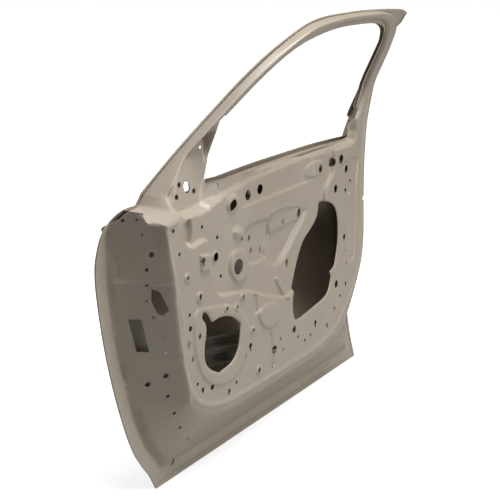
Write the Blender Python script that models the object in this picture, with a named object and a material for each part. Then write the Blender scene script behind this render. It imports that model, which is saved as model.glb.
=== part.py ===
"""Right front car door shell: pressed inner panel, hemmed outer skin and the welded braces between them.

X runs rearwards, Y outboard and Z up. The origin is the middle of the upper hinge's seat.
Every table whose name ends in shares gives places as shares of the door's length and height.
"""

import math

import bmesh
import bpy
import numpy as np
from mathutils import Vector
from mathutils.geometry import delaunay_2d_cdt

# Overall size, in metres
door_length = 1.020
door_height = 1.060
door_depth = 0.124

# Sheets and clearances
inner_sheet = 0.0010
outer_sheet = 0.0008
seat_gap = 0.0003
hem_gap = 0.0006

# Hem, walls and window frame
hem_flange = 0.036
hem_return = 0.011
front_frame_depth = 0.028
rear_frame_depth = 0.034
frame_blend = 0.012
sail_rise = 0.052
window_flange = 0.008
window_flange_run = 0.003
skin_stand_off = 0.0022
stand_off_share = 0.5
skin_crown = 0.014
skin_crown_run = 0.260

# Belt line
belt_recess = 0.020
belt_ledge_run = 0.012
outer_belt_setback = 0.040
outer_belt_flat = 0.014
outer_rail_clearance = 0.0005
window_bottom_share = 0.685
run_bottom_shares = (0.790, 0.730)
run_middle_share = 0.5
run_clear = 3.4
outer_belt_run = 0.022

# Limits of the sheet solids
steepest = 3.0
sharpest_fold = 0.5
smooth_angle = 25

# Mesh density
hem_spacing = 0.040
rim_spacing = 0.034
window_spacing = 0.032
detail_spacing = 0.020
panel_grid = 0.110
skin_grid = 0.100

# Material: name, colour, roughness, metallic
primer_finish = ("taupe_primer", (0.47, 0.43, 0.38, 1.0), 0.42, 0.15)
brace_finish = ("dark_primer", (0.20, 0.19, 0.17, 1.0), 0.50, 0.20)
steel_finish = ("plated_steel", (0.42, 0.41, 0.38, 1.0), 0.35, 0.90)
mastic_finish = ("mastic", (0.08, 0.08, 0.08, 1.0), 0.85, 0.0)

# Depth of the hem line below the trim plane, by height
hem_depth_shares = [
    (0.0, 0.60), (0.10, 0.78), (0.24, 0.93), (0.38, 1.0), (0.52, 0.985), (0.61, 0.91),
    (0.66, 0.81), (0.71, 0.66), (0.755, 0.49), (0.80, 0.31), (0.85, 0.105), (0.896, -0.105),
    (0.943, -0.32), (1.0, -0.58),
]

# Outer edge of the door. A third value of True marks a sharp corner.
hem_shares = [
    (0.0, 0.0, True), (-0.021, 0.052), (-0.055, 0.142), (-0.087, 0.275), (-0.112, 0.415),
    (-0.122, 0.515), (-0.112, 0.564), (-0.101, 0.586), (-0.084, 0.603), (-0.063, 0.616), (-0.040, 0.623),
    (0.002, 0.625, True),
    (0.015, 0.650, True), (0.063, 0.691), (0.173, 0.791), (0.274, 0.882), (0.346, 0.932),
    (0.459, 0.982), (0.630, 0.998), (0.785, 1.002), (0.939, 0.999), (0.985, 0.990, True),
    (0.980, 0.964, True), (0.965, 0.955, True), (0.964, 0.875), (0.966, 0.790), (0.975, 0.650),
    (0.990, 0.425), (1.0, 0.190), (0.997, 0.060), (1.0, 0.0, True),
]

# Ridge between the trim plane and the walls that face the body
rim_shares = [
    (-0.043, 0.597), (-0.025, 0.511), (0.003, 0.396), (0.009, 0.302), (0.024, 0.247),
    (0.061, 0.190), (0.147, 0.153), (0.294, 0.143), (0.460, 0.144), (0.627, 0.147),
    (0.730, 0.171), (0.809, 0.229), (0.875, 0.325), (0.889, 0.406), (0.878, 0.566),
    (0.886, 0.703), (0.917, 0.799), (0.920, 0.877), (0.878, 0.959), (0.797, 0.989),
    (0.647, 0.990), (0.530, 0.982), (0.424, 0.960), (0.302, 0.885), (0.174, 0.779),
    (0.062, 0.673), (0.024, 0.633), (0.000, 0.614), (-0.031, 0.606),
]

# Window opening of the inner panel
window_shares = [
    (0.157, 0.651, True), (0.181, 0.693), (0.193, 0.741), (0.191, 0.783, True), (0.232, 0.813),
    (0.310, 0.878), (0.365, 0.917), (0.431, 0.947), (0.534, 0.970), (0.647, 0.978),
    (0.775, 0.977), (0.835, 0.961), (0.869, 0.922), (0.878, 0.880), (0.881, 0.835),
    (0.873, 0.787), (0.850, 0.746), (0.826, 0.715), (0.808, 0.676, True), (0.713, 0.666),
    (0.430, 0.658),
]

# Window opening of the outer skin
skin_window_shares = [
    (0.176, 0.648, True), (0.190, 0.700), (0.203, 0.748, True), (0.240, 0.788), (0.330, 0.868),
    (0.395, 0.918), (0.470, 0.947), (0.560, 0.964), (0.680, 0.971), (0.800, 0.969),
    (0.870, 0.952), (0.905, 0.918), (0.922, 0.860), (0.925, 0.790), (0.915, 0.730),
    (0.890, 0.672, True), (0.787, 0.670), (0.480, 0.660),
]

# Flat seats pressed into the curved walls, each a quadrilateral
upper_hinge_seat_shares = [(-0.049, 0.585), (-0.082, 0.585), (-0.073, 0.487), (-0.027, 0.487)]
check_seat_shares = [(-0.022, 0.470), (-0.070, 0.470), (-0.057, 0.318), (0.000, 0.318)]
lower_hinge_seat_shares = [(0.001, 0.303), (-0.052, 0.303), (-0.033, 0.208), (0.030, 0.208)]
beam_seat_shares = [(0.868, 0.170), (0.912, 0.170), (0.912, 0.095), (0.868, 0.095)]
latch_seat_shares = [(0.897, 0.560), (0.940, 0.560), (0.944, 0.440), (0.901, 0.440)]
sail_seat_shares = [
    (0.040, 0.630), (0.055, 0.612), (0.124, 0.615), (0.132, 0.634), (0.150, 0.652), (0.168, 0.690),
    (0.176, 0.750), (0.150, 0.740), (0.104, 0.706), (0.054, 0.655),
]
sail_depth = 0.037
sail_lean = 0.163
handle_seat_shares = [(0.770, 0.580), (0.770, 0.520), (0.900, 0.520), (0.900, 0.580)]
seat_blend = 0.007
seat_border = 0.002

# Speaker opening and service opening
speaker_shares = [
    (0.101, 0.354), (0.093, 0.305), (0.097, 0.275), (0.117, 0.253), (0.151, 0.235, True),
    (0.208, 0.247), (0.232, 0.275), (0.241, 0.325, True), (0.204, 0.350), (0.165, 0.361),
    (0.122, 0.360, True), (0.106, 0.382), (0.093, 0.390), (0.084, 0.382),
]
service_shares = [
    (0.636, 0.530), (0.657, 0.532), (0.691, 0.522), (0.714, 0.505), (0.730, 0.470), (0.732, 0.410),
    (0.715, 0.350, True), (0.690, 0.340, True), (0.696, 0.322), (0.674, 0.284), (0.600, 0.268),
    (0.531, 0.258, True), (0.503, 0.262), (0.491, 0.310), (0.512, 0.379), (0.552, 0.445),
    (0.606, 0.479), (0.628, 0.500),
]

# Embosses inside the rim: outline, depth outboard and run of the sloping side
recess_depth = 0.009
strip_depth = 0.004
bowl_depth = 0.009
ring_height = 0.003
boss_height = 0.006
pad_height = 0.004
emboss_run = 0.007
bowl_run = 0.018
ledge_top_shares = [
    (0.022, 0.640, True), (0.026, 0.612), (0.055, 0.600), (0.120, 0.606), (0.150, 0.614, True),
    (0.245, 0.624), (0.374, 0.634), (0.560, 0.640), (0.709, 0.643), (0.760, 0.645), (0.815, 0.655),
    (0.832, 0.690, True), (0.832, 0.780, True), (0.022, 0.780, True),
]
recess_shares = [
    (0.022, 0.600, True), (0.026, 0.560), (0.040, 0.542), (0.060, 0.537), (0.097, 0.543),
    (0.116, 0.536), (0.122, 0.505), (0.134, 0.450), (0.150, 0.415), (0.175, 0.404),
    (0.231, 0.397), (0.280, 0.388), (0.330, 0.368), (0.384, 0.349), (0.460, 0.330),
    (0.520, 0.340, True), (0.660, 0.500, True), (0.660, 0.560), (0.720, 0.600), (0.700, 0.632, True),
    (0.560, 0.624), (0.374, 0.612), (0.245, 0.603), (0.119, 0.592), (0.060, 0.590),
]
strip_shares = [
    (0.262, 0.600, True), (0.270, 0.572, True), (0.440, 0.578), (0.595, 0.590, True), (0.600, 0.617, True),
]
bowl_shares = [
    (0.395, 0.553), (0.462, 0.560), (0.537, 0.548), (0.570, 0.526), (0.555, 0.500), (0.515, 0.468),
    (0.475, 0.435), (0.430, 0.412), (0.385, 0.424), (0.354, 0.464), (0.372, 0.510),
]
speaker_ring_shares = [
    (0.068, 0.404), (0.052, 0.385), (0.050, 0.350), (0.055, 0.312), (0.073, 0.261), (0.108, 0.222),
    (0.164, 0.199), (0.219, 0.203), (0.261, 0.232), (0.281, 0.273), (0.275, 0.317), (0.245, 0.353),
    (0.190, 0.384), (0.123, 0.396),
]
motor_boss_shares = [
    (0.213, 0.491), (0.204, 0.458), (0.232, 0.420), (0.269, 0.416), (0.290, 0.440), (0.281, 0.478),
    (0.247, 0.498),
]
round_pad_shares = [
    (0.317, 0.325), (0.339, 0.340), (0.386, 0.338), (0.425, 0.318), (0.425, 0.288), (0.391, 0.272),
    (0.344, 0.285),
]

# Holes of the inner panel: kind, place along the door, place up it, tilt in degrees
hole_sizes = {
    "pin": (0.006, 0.006),
    "clip": (0.009, 0.009),
    "slot": (0.009, 0.015),
    "oval": (0.018, 0.022),
    "plug": (0.024, 0.025),
    "square": (0.030, 0.022),
    "keyhole": (0.015, 0.022),
    "bolt": (0.013, 0.013),
    "motor": (0.038, 0.038),
    "mirror": (0.022, 0.027),
    "drain": (0.022, 0.014),
    "tapped": (0.0082, 0.0082),
}
hole_corners = {"pin": 6, "clip": 6, "motor": 20, "tapped": 8}
squareness = 0.7
keyhole_neck = 0.45
trim_hole_shares = [
    ("square", 0.219, 0.599, 20), ("plug", 0.295, 0.607, 0), ("plug", 0.348, 0.612, 0),
    ("oval", 0.633, 0.619, 0), ("plug", 0.696, 0.626, 0), ("plug", 0.739, 0.629, 0),
    ("oval", 0.772, 0.599, 0), ("clip", 0.103, 0.572, 30), ("clip", 0.161, 0.538, 30),
    ("clip", 0.262, 0.514, 0), ("slot", 0.300, 0.508, -15), ("slot", 0.308, 0.477, -10),
    ("slot", 0.349, 0.470, -10), ("keyhole", 0.088, 0.501, 0), ("oval", 0.152, 0.497, 0),
    ("motor", 0.239, 0.456, 0), ("clip", -0.013, 0.587, 0), ("clip", 0.007, 0.535, 0),
    ("clip", 0.033, 0.479, 0), ("clip", 0.174, 0.449, 30), ("oval", 0.531, 0.525, 0),
    ("slot", 0.455, 0.516, 0), ("keyhole", 0.470, 0.411, 0), ("slot", 0.078, 0.427, -15),
    ("clip", 0.040, 0.398, 0), ("bolt", 0.042, 0.367, 0), ("keyhole", 0.035, 0.333, 0),
    ("slot", 0.073, 0.342, -10), ("slot", 0.050, 0.299, -10), ("clip", 0.178, 0.376, 0),
    ("clip", 0.225, 0.367, 20), ("slot", 0.251, 0.383, 0), ("clip", 0.296, 0.293, 0),
    ("keyhole", 0.286, 0.254, 0), ("slot", 0.264, 0.240, -15), ("oval", 0.400, 0.214, 0),
    ("clip", 0.442, 0.202, 0), ("clip", 0.428, 0.233, 20), ("slot", 0.390, 0.177, 0),
    ("slot", 0.323, 0.186, -15), ("clip", 0.224, 0.188, 0), ("slot", 0.192, 0.176, -20),
    ("bolt", 0.123, 0.210, 0), ("slot", 0.086, 0.216, 0), ("clip", 0.066, 0.236, 0),
    ("oval", 0.496, 0.236, 0), ("clip", 0.518, 0.212, 20), ("clip", 0.554, 0.192, 0),
    ("clip", 0.585, 0.198, 0), ("keyhole", 0.610, 0.220, 0), ("slot", 0.678, 0.197, 0),
    ("clip", 0.719, 0.233, 0), ("clip", 0.752, 0.260, 20), ("oval", 0.727, 0.298, 0),
    ("slot", 0.784, 0.285, 0), ("clip", 0.787, 0.343, 0), ("pin", 0.784, 0.376, 0),
    ("keyhole", 0.768, 0.415, 0), ("oval", 0.711, 0.556, 0), ("bolt", 0.774, 0.541, 0),
    ("pin", 0.797, 0.530, 0), ("clip", 0.803, 0.563, 20),
]
sail_hole_shares = [
    ("bolt", 0.071, 0.662, 0), ("mirror", 0.096, 0.654, 0), ("bolt", 0.056, 0.639, 0),
    ("bolt", 0.120, 0.642, 0), ("clip", 0.166, 0.728, 0),
]
wall_hole_shares = [
    ("clip", -0.050, 0.604, 0), ("pin", -0.041, 0.610, 0), ("bolt", -0.055, 0.570, 0),
    ("oval", -0.047, 0.541, 0), ("bolt", -0.048, 0.503, 0), ("pin", -0.052, 0.442, 0),
    ("pin", -0.034, 0.397, 0), ("clip", -0.018, 0.362, 0), ("clip", -0.012, 0.324, 0),
    ("bolt", -0.004, 0.271, 0), ("bolt", -0.022, 0.250, 0), ("bolt", 0.006, 0.221, 0),
    ("clip", 0.022, 0.178, 0), ("clip", 0.046, 0.135, 0), ("clip", 0.084, 0.094, 0),
    ("drain", 0.070, 0.033, 0), ("drain", 0.173, 0.040, 0), ("drain", 0.945, 0.060, 0),
    ("bolt", 0.920, 0.455, 0), ("bolt", 0.922, 0.545, 0),
]
harness_shares = [(-0.058, 0.400, True), (-0.044, 0.400, True), (-0.029, 0.326, True), (-0.043, 0.326, True)]
check_strap_shares = [
    (-0.040, 0.468, True), (-0.030, 0.461, True), (-0.017, 0.421, True), (-0.022, 0.409, True),
    (-0.029, 0.413, True), (-0.038, 0.442, True),
]
latch_slot_shares = [(0.872, 0.496, True), (0.908, 0.494, True), (0.928, 0.502), (0.908, 0.510, True), (0.872, 0.508, True)]


# Plain geometry of loops in the X-Z plane

def places(shares):
    """Points in metres from a table of shares, keeping the mark of a sharp corner."""
    return [(p[0] * door_length, p[1] * door_height, len(p) > 2) for p in shares]


def spline_loop(shares, spacing):
    """Closed smooth curve through the places of a table, split into steps of about the spacing."""
    points = places(shares)
    count = len(points)
    at = [np.array(p[:2]) for p in points]
    loop = []
    for i in range(count):
        start, end = at[i], at[(i + 1) % count]
        length = np.linalg.norm(end - start)
        before = 2 * start - end if points[i][2] else at[i - 1]
        after = 2 * end - start if points[(i + 1) % count][2] else at[(i + 2) % count]
        leave = (end - before) / (np.linalg.norm(start - before) + length) * length
        arrive = (after - start) / (np.linalg.norm(after - end) + length) * length
        steps = max(1, round(length / spacing))
        for k in range(steps):
            t = k / steps
            loop.append(
                (2 * t**3 - 3 * t**2 + 1) * start
                + (t**3 - 2 * t**2 + t) * leave
                + (3 * t**2 - 2 * t**3) * end
                + (t**3 - t**2) * arrive
            )
    return np.array(loop)


def loop_distance(points, loop):
    """Distance of each point to a closed loop, positive inside it."""
    a, b = loop, np.roll(loop, -1, axis=0)
    edge = b - a
    rel = points[:, None, :] - a[None]
    along = np.clip((rel * edge).sum(2) / (edge * edge).sum(1), 0, 1)
    near = rel - along[..., None] * edge
    dist = np.sqrt((near**2).sum(2)).min(1)
    x, z = points[:, 0:1], points[:, 1:2]
    rise = np.where(edge[:, 1] == 0, 1, edge[:, 1])
    cross_x = a[:, 0] + (z - a[:, 1]) * edge[:, 0] / rise
    crossed = ((a[:, 1] > z) != (b[:, 1] > z)) & (x < cross_x)
    inside = crossed.sum(1) % 2 == 1
    return np.where(inside, dist, -dist)


def loop_normals(loop):
    """Unit vectors in the plane that point into a loop, at its vertices."""
    ahead = np.roll(loop, -1, axis=0) - loop
    ahead /= np.linalg.norm(ahead, axis=1)[:, None]
    behind = np.roll(ahead, 1, axis=0)
    along = ahead + behind
    along /= np.linalg.norm(along, axis=1)[:, None]
    normal = np.stack([-along[:, 1], along[:, 0]], axis=1)
    area = (loop[:, 0] * np.roll(loop[:, 1], -1) - np.roll(loop[:, 0], -1) * loop[:, 1]).sum()
    return normal if area > 0 else -normal


def inset_loop(loop, amount):
    """The loop moved inwards by an amount, along its vertex normals."""
    return loop + loop_normals(loop) * amount


def smooth_step(t):
    t = np.clip(t, 0, 1)
    return t * t * (3 - 2 * t)


def soft_min(a, b, blend):
    return 0.5 * (a + b - np.sqrt((a - b) ** 2 + blend**2))


def curve_value(x, table):
    """Smooth curve through a table of (x, value), read at x."""
    xs, values = (np.array(column) for column in zip(*table))
    slopes = np.gradient(values, xs)
    i = np.clip(np.searchsorted(xs, x) - 1, 0, len(xs) - 2)
    span = xs[i + 1] - xs[i]
    t = np.clip((x - xs[i]) / span, 0, 1)
    return (
        (2 * t**3 - 3 * t**2 + 1) * values[i]
        + (t**3 - 2 * t**2 + t) * slopes[i] * span
        + (3 * t**2 - 2 * t**3) * values[i + 1]
        + (t**3 - t**2) * slopes[i + 1] * span
    )


# Loops that several pieces share
hem_loop = spline_loop(hem_shares, hem_spacing)
rim_loop = spline_loop(rim_shares, rim_spacing)
window_loop = spline_loop(window_shares, window_spacing)
skin_window_loop = spline_loop(skin_window_shares, window_spacing)
panel_edge = inset_loop(hem_loop, outer_sheet + seat_gap)


# Depth of the pressed surfaces, as functions of the place in the X-Z plane

def hem_depth(points):
    """Depth of the hem flange's inboard face."""
    return door_depth * curve_value(points[:, 1] / door_height, hem_depth_shares)


sail_rise_shares = (0.598, 0.052)
sail_rear_shares = (0.128, 0.018)
sail_top_shares = (0.652, 0.012)
front_to_rear_shares = (0.25, 0.44)


def rim_depth(points):
    """Depth of the surface inside the rim before its embosses: flat below the belt, leaning in above."""
    up = points[:, 1] / door_height
    hem = hem_depth(points)
    sail = sail_rise * smooth_step((up - sail_rise_shares[0]) / sail_rise_shares[1])
    behind = smooth_step((points[:, 0] / door_length - sail_rear_shares[0]) / sail_rear_shares[1])
    sail = sail * (1 - behind * (1 - smooth_step((up - sail_top_shares[0]) / sail_top_shares[1])))
    front = soft_min(hem - front_frame_depth, sail, frame_blend * (sail / sail_rise))
    start, run = front_to_rear_shares
    above = smooth_step((up - sail_rise_shares[0]) / sail_rise_shares[1])
    rear = soft_min(hem - rear_frame_depth, 0.0 * up, frame_blend * above)
    mix = smooth_step((points[:, 0] / door_length - start) / run)
    return front * (1 - mix) + rear * mix


wall_profile_shares = [(0.0, 0.0), (0.10, 0.04), (0.88, 0.86), (1.0, 1.0)]
flange_share = 0.38
return_share = 0.28
return_squareness = 0.3


def flange_width(total):
    return np.minimum(hem_flange, flange_share * total)


def return_width(total):
    return np.minimum(hem_return, return_share * total)


def wall_depth(points, from_rim, from_hem):
    """Depth of the wall between the rim and the hem flange."""
    total = from_rim + from_hem
    flange = flange_width(total)
    s = np.clip(from_rim / (total - flange), 0, 1)
    profile = np.interp(s, *zip(*wall_profile_shares))
    rim, hem = rim_depth(points), hem_depth(points)
    return rim + (hem - rim) * profile


def raise_or_sink(points, outline, amount, run):
    """Depth that an emboss adds: its full amount inside the outline, running out over its sloping side."""
    return amount * smooth_step(loop_distance(points, outline) / run)


def make_embosses():
    table = [
        (recess_shares, recess_depth, emboss_run),
        (strip_shares, strip_depth, emboss_run),
        (bowl_shares, bowl_depth, bowl_run),
        (speaker_ring_shares, -ring_height, emboss_run),
        (motor_boss_shares, -boss_height, emboss_run),
        (round_pad_shares, -pad_height, emboss_run),
    ]
    return [(spline_loop(shares, detail_spacing), amount, run) for shares, amount, run in table]


embosses = make_embosses()
ledge_loop = spline_loop(ledge_top_shares, rim_spacing)


def curved_depth(points):
    """Depth of the inner panel's inboard face before its flat seats."""
    to_rim = loop_distance(points, rim_loop)
    to_hem = loop_distance(points, hem_loop)
    inside = rim_depth(points)
    for outline, amount, run in embosses:
        inside = inside + raise_or_sink(points, outline, amount, run)
    ledge = raise_or_sink(points, ledge_loop, belt_recess, belt_ledge_run)
    inside = np.where(ledge > 0, np.maximum(inside, ledge), inside)
    to_window = -loop_distance(points, window_loop)
    above_belt = smooth_step((points[:, 1] / door_height - 0.69) / 0.03)
    inside = inside + window_flange * above_belt * np.clip(1 - to_window / window_flange_run, 0, 1)
    wall = wall_depth(points, np.maximum(-to_rim, 0), np.maximum(to_hem, 0))
    return np.where(to_rim > 0, inside, wall)


def make_seat(shares):
    """Outline of a flat seat and the plane that its corners give."""
    outline = np.array([p[:2] for p in places(shares)])
    depths = curved_depth(outline)
    table = np.c_[outline, np.ones(len(outline))]
    plane = np.linalg.lstsq(table, depths, rcond=None)[0]
    return outline, plane


upper_hinge_seat = make_seat(upper_hinge_seat_shares)
lower_hinge_seat = make_seat(lower_hinge_seat_shares)
latch_seat = make_seat(latch_seat_shares)
sail_outline = np.array([p[:2] for p in places(sail_seat_shares)])
sail_seat = (sail_outline, np.array([0.0, sail_lean, sail_depth - sail_lean * sail_outline[1][1]]))
check_seat = make_seat(check_seat_shares)
beam_seat = make_seat(beam_seat_shares)
flat_seats = [upper_hinge_seat, lower_hinge_seat, check_seat, beam_seat, latch_seat, sail_seat]


def plane_depth(points, plane):
    return plane[0] * points[:, 0] + plane[1] * points[:, 1] + plane[2]


def panel_depth(points):
    """Depth of the inner panel's inboard face."""
    depth = curved_depth(points)
    for outline, plane in flat_seats:
        keep = smooth_step(-loop_distance(points, outline) / seat_blend)
        depth = depth * keep + plane_depth(points, plane) * (1 - keep)
    return depth


def skin_depth(points):
    """Depth of the outer skin's inboard face: parallel to the hem flange, crowned, drawn in at the belt."""
    to_hem = loop_distance(points, hem_loop)
    to_window = -loop_distance(points, skin_window_loop)
    crown = skin_crown * smooth_step((to_hem - hem_flange) / skin_crown_run)
    below_belt = 1 - smooth_step((points[:, 1] / door_height - 0.69) / 0.03)
    drawn_in = outer_belt_setback * below_belt * (1 - smooth_step((to_window - outer_belt_flat) / outer_belt_run))
    total = np.abs(to_hem) + np.abs(loop_distance(points, rim_loop))
    leave = return_width(total)
    reach = stand_off_share * (flange_width(total) - leave)
    stand_off = skin_stand_off * np.clip((to_hem - leave) / reach, 0, 1)
    depth = hem_depth(points) + crown - drawn_in + stand_off
    if handle_plane is None:
        return depth
    keep = smooth_step(-loop_distance(points, handle_outline) / seat_blend)
    return depth * keep + plane_depth(points, handle_plane) * (1 - keep)


def make_handle_seat():
    """Plane of the flat that the outer handle sits on."""
    depths = skin_depth(handle_outline)
    table = np.c_[handle_outline, np.ones(len(handle_outline))]
    return np.linalg.lstsq(table, depths, rcond=None)[0]


handle_outline = np.array([p[:2] for p in places(handle_seat_shares)])
handle_plane = None
handle_plane = make_handle_seat()


# Making the solids

def steepness(verts, faces):
    """How much longer the sheet's thickness is along Y than square to it, at every vertex."""
    corners = verts[faces]
    normal = np.cross(corners[:, 1] - corners[:, 0], corners[:, 2] - corners[:, 0])
    factor = np.linalg.norm(normal, axis=1) / np.maximum(np.abs(normal[:, 1]), 1e-12)
    factor = np.minimum(factor, steepest)
    total, count = np.zeros(len(verts)), np.zeros(len(verts))
    for k in range(3):
        np.add.at(total, faces[:, k], np.log(factor))
        np.add.at(count, faces[:, k], 1)
    return np.exp(total / np.maximum(count, 1))


def finish_object(name, verts, faces, finish):
    """Make a named object with its own material from points and faces, all faces turned outwards."""
    title, colour, roughness, metallic = finish
    material = bpy.data.materials.new(f"{name}_{title}")
    material.use_nodes = True
    shader = material.node_tree.nodes["Principled BSDF"]
    shader.inputs["Base Color"].default_value = colour
    shader.inputs["Roughness"].default_value = roughness
    shader.inputs["Metallic"].default_value = metallic
    material.diffuse_color = colour
    mesh = bpy.data.meshes.new(name)
    mesh.from_pydata([tuple(v) for v in verts], [], faces)
    shape = bmesh.new()
    shape.from_mesh(mesh)
    bmesh.ops.triangulate(shape, faces=shape.faces[:])
    bmesh.ops.recalc_face_normals(shape, faces=shape.faces[:])
    if shape.calc_volume(signed=True) < 0:
        bmesh.ops.reverse_faces(shape, faces=shape.faces[:])
    shape.to_mesh(mesh)
    shape.free()
    mesh.materials.append(material)
    mesh.shade_smooth()
    mesh.set_sharp_from_angle(angle=math.radians(smooth_angle))
    obj = bpy.data.objects.new(name, mesh)
    bpy.context.scene.collection.objects.link(obj)
    obj.location = -origin
    return obj


def flat_mesh(outline, openings, creases, grid):
    """Triangles in the X-Z plane inside an outline, round its openings and along its creases."""
    loops = [outline, *openings, *creases]
    points = [p for loop in loops for p in loop]
    edges = []
    start = 0
    for loop in loops:
        count = len(loop)
        edges += [(start + i, start + (i + 1) % count) for i in range(count)]
        start += count
    if grid:
        low, high = outline.min(0), outline.max(0)
        xs = np.arange(low[0], high[0], grid)
        zs = np.arange(low[1], high[1], grid)
        inner = np.array([(x + (row % 2) * grid / 2, z) for row, z in enumerate(zs) for x in xs])
        clear = loop_distance(inner, outline) > grid / 3
        for loop in [*openings, *creases]:
            clear &= np.abs(loop_distance(inner, loop)) > grid / 3
        points += list(inner[clear])
    flat = delaunay_2d_cdt([Vector(p) for p in points], edges, [], 0, 1e-7)
    verts = np.array([v[:] for v in flat[0]])
    faces = np.array([f for f in flat[2] if len(f) == 3])
    centres = verts[faces].mean(1)
    keep = loop_distance(centres, outline) > 0
    for loop in openings:
        keep &= loop_distance(centres, loop) < 0
    faces = faces[keep]
    used = np.unique(faces)
    number = np.full(len(verts), -1)
    number[used] = np.arange(len(used))
    return verts[used], number[faces]


def lifted(flat, depth):
    """Points of the X-Z plane at a depth."""
    return np.stack([flat[:, 0], depth, flat[:, 1]], axis=1)


def border(faces):
    """Directed edges that only one face has."""
    edges = {(f[k], f[(k + 1) % 3]) for f in faces.tolist() for k in range(3)}
    return [(a, b) for a, b in edges if (b, a) not in edges]


def pressed_solid(name, flat, faces, front, back, finish):
    """Closed solid between two depths over the same flat triangles."""
    count = len(flat)
    solid = [tuple(f) for f in faces.tolist()]
    solid += [(c + count, b + count, a + count) for a, b, c in faces.tolist()]
    solid += [(b, a, a + count, b + count) for a, b in border(faces)]
    return finish_object(name, np.concatenate([lifted(flat, front), lifted(flat, back)]), solid, finish)


def pressed_sheet(name, outline, openings, creases, depth_of, thickness, grid, finish, offset=0.0):
    """A sheet pressed to a depth over the X-Z plane, its material outboard of that depth."""
    flat, faces = flat_mesh(outline, openings, creases, grid)
    depth = depth_of(flat)
    factor = steepness(lifted(flat, depth), faces)
    return pressed_solid(name, flat, faces, depth + offset * factor, depth + (offset + thickness) * factor, finish)


def grid_faces(rows, columns, closed, start, turned):
    """Quadrilaterals over a grid of points."""
    faces = []
    for i in range(rows if closed else rows - 1):
        for j in range(columns - 1):
            a, b = start + i * columns + j, start + (i + 1) % rows * columns + j
            face = (a, a + 1, b + 1, b)
            faces.append(face[::-1] if turned else face)
    return faces


def between_grids(name, front, back, finish, closed=False):
    """Closed solid between two grids of points of the same shape."""
    front, back = np.array(front), np.array(back)
    rows, columns = front.shape[:2]
    size = rows * columns
    faces = grid_faces(rows, columns, closed, 0, False) + grid_faces(rows, columns, closed, size, True)
    for i in range(rows if closed else rows - 1):
        for j in (0, columns - 1):
            a, b = i * columns + j, (i + 1) % rows * columns + j
            faces.append((a, b, b + size, a + size))
    if not closed:
        for i in (0, rows - 1):
            for j in range(columns - 1):
                a = i * columns + j
                faces.append((a, a + 1, a + 1 + size, a + size))
    verts = np.concatenate([front.reshape(-1, 3), back.reshape(-1, 3)])
    return finish_object(name, verts, faces, finish)


def folded_sheet(name, sections, thickness, finish, closed=False):
    """A sheet whose middle surface passes through folded sections, half its thickness on each side."""
    grid = np.array(sections)
    along = np.roll(grid, -1, axis=0) - np.roll(grid, 1, axis=0)
    if not closed:
        along[0], along[-1] = grid[1] - grid[0], grid[-1] - grid[-2]
    fold = np.diff(grid, axis=1)
    side = np.cross(fold, (along[:, :-1] + along[:, 1:]) / 2)
    side /= np.linalg.norm(side, axis=2)[..., None]
    before = np.concatenate([side[:, :1], side], axis=1)
    after = np.concatenate([side, side[:, -1:]], axis=1)
    middle = before + after
    shift = middle / np.maximum((middle * after).sum(2), sharpest_fold)[..., None]
    return between_grids(name, grid + shift * thickness / 2, grid - shift * thickness / 2, finish, closed)


def hole_loop(kind, x, z, tilt, depth_of):
    """Edge of one hole, laid in the surface that it is cut in."""
    wide, high = hole_sizes[kind]
    corners = hole_corners.get(kind, 10)
    turn = np.arange(corners) / corners * math.tau + math.pi / corners
    across, up = np.cos(turn), np.sin(turn)
    if kind == "square":
        across, up = (np.sign(v) * np.abs(v) ** squareness for v in (across, up))
    if kind == "keyhole":
        across = np.where(up < 0, across * keyhole_neck, across)
    lean = math.radians(tilt)
    centre = np.array([[x * door_length, z * door_height]])
    step = np.array([[inner_sheet, 0.0], [-inner_sheet, 0.0], [0.0, inner_sheet], [0.0, -inner_sheet]])
    near = depth_of(centre + step)
    slope_x, slope_z = (near[0] - near[1]) / (2 * inner_sheet), (near[2] - near[3]) / (2 * inner_sheet)
    across, up = across * wide / 2, up * high / 2
    side = (across * math.cos(lean) - up * math.sin(lean)) / math.sqrt(1 + slope_x**2)
    rise = (across * math.sin(lean) + up * math.cos(lean)) / math.sqrt(1 + slope_z**2)
    return centre + np.stack([side, rise], axis=1)


# Inner panel

def emboss_creases():
    """Both edges of every emboss's sloping side."""
    creases = []
    for outline, _, run in embosses:
        creases += [outline, inset_loop(outline, run)]
    return creases


def nearest_on_loop(points, loop):
    """The place on a closed loop that is nearest to each point."""
    edge = np.roll(loop, -1, axis=0) - loop
    rel = points[:, None, :] - loop[None]
    along = np.clip((rel * edge).sum(2) / (edge * edge).sum(1), 0, 1)
    foot = loop[None] + along[..., None] * edge[None]
    best = ((points[:, None, :] - foot) ** 2).sum(2).argmin(1)
    return foot[np.arange(len(points)), best]


def ring_towards_rim(width_of, squareness_to_hem=0.0):
    """The hem line moved towards the rim by a width that depends on how far off the rim is."""
    foot = nearest_on_loop(hem_loop, rim_loop)
    total = np.linalg.norm(foot - hem_loop, axis=1)
    way = (foot - hem_loop) / total[:, None]
    way = way * (1 - squareness_to_hem) + loop_normals(hem_loop) * squareness_to_hem
    way /= np.linalg.norm(way, axis=1)[:, None]
    return hem_loop + way * width_of(total)[:, None]


return_ring = ring_towards_rim(return_width, return_squareness)
flange_ring = ring_towards_rim(flange_width)


def wall_rings():
    """Rings round the walls: the hem return's edge, the flange, the foot of the step and the rim's bead."""
    step, bead = wall_profile_shares[2][0], wall_profile_shares[1][0]
    return [
        return_ring,
        flange_ring,
        ring_towards_rim(lambda total: total - (total - flange_width(total)) * step),
        ring_towards_rim(lambda total: total - (total - flange_width(total)) * bead),
    ]


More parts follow.
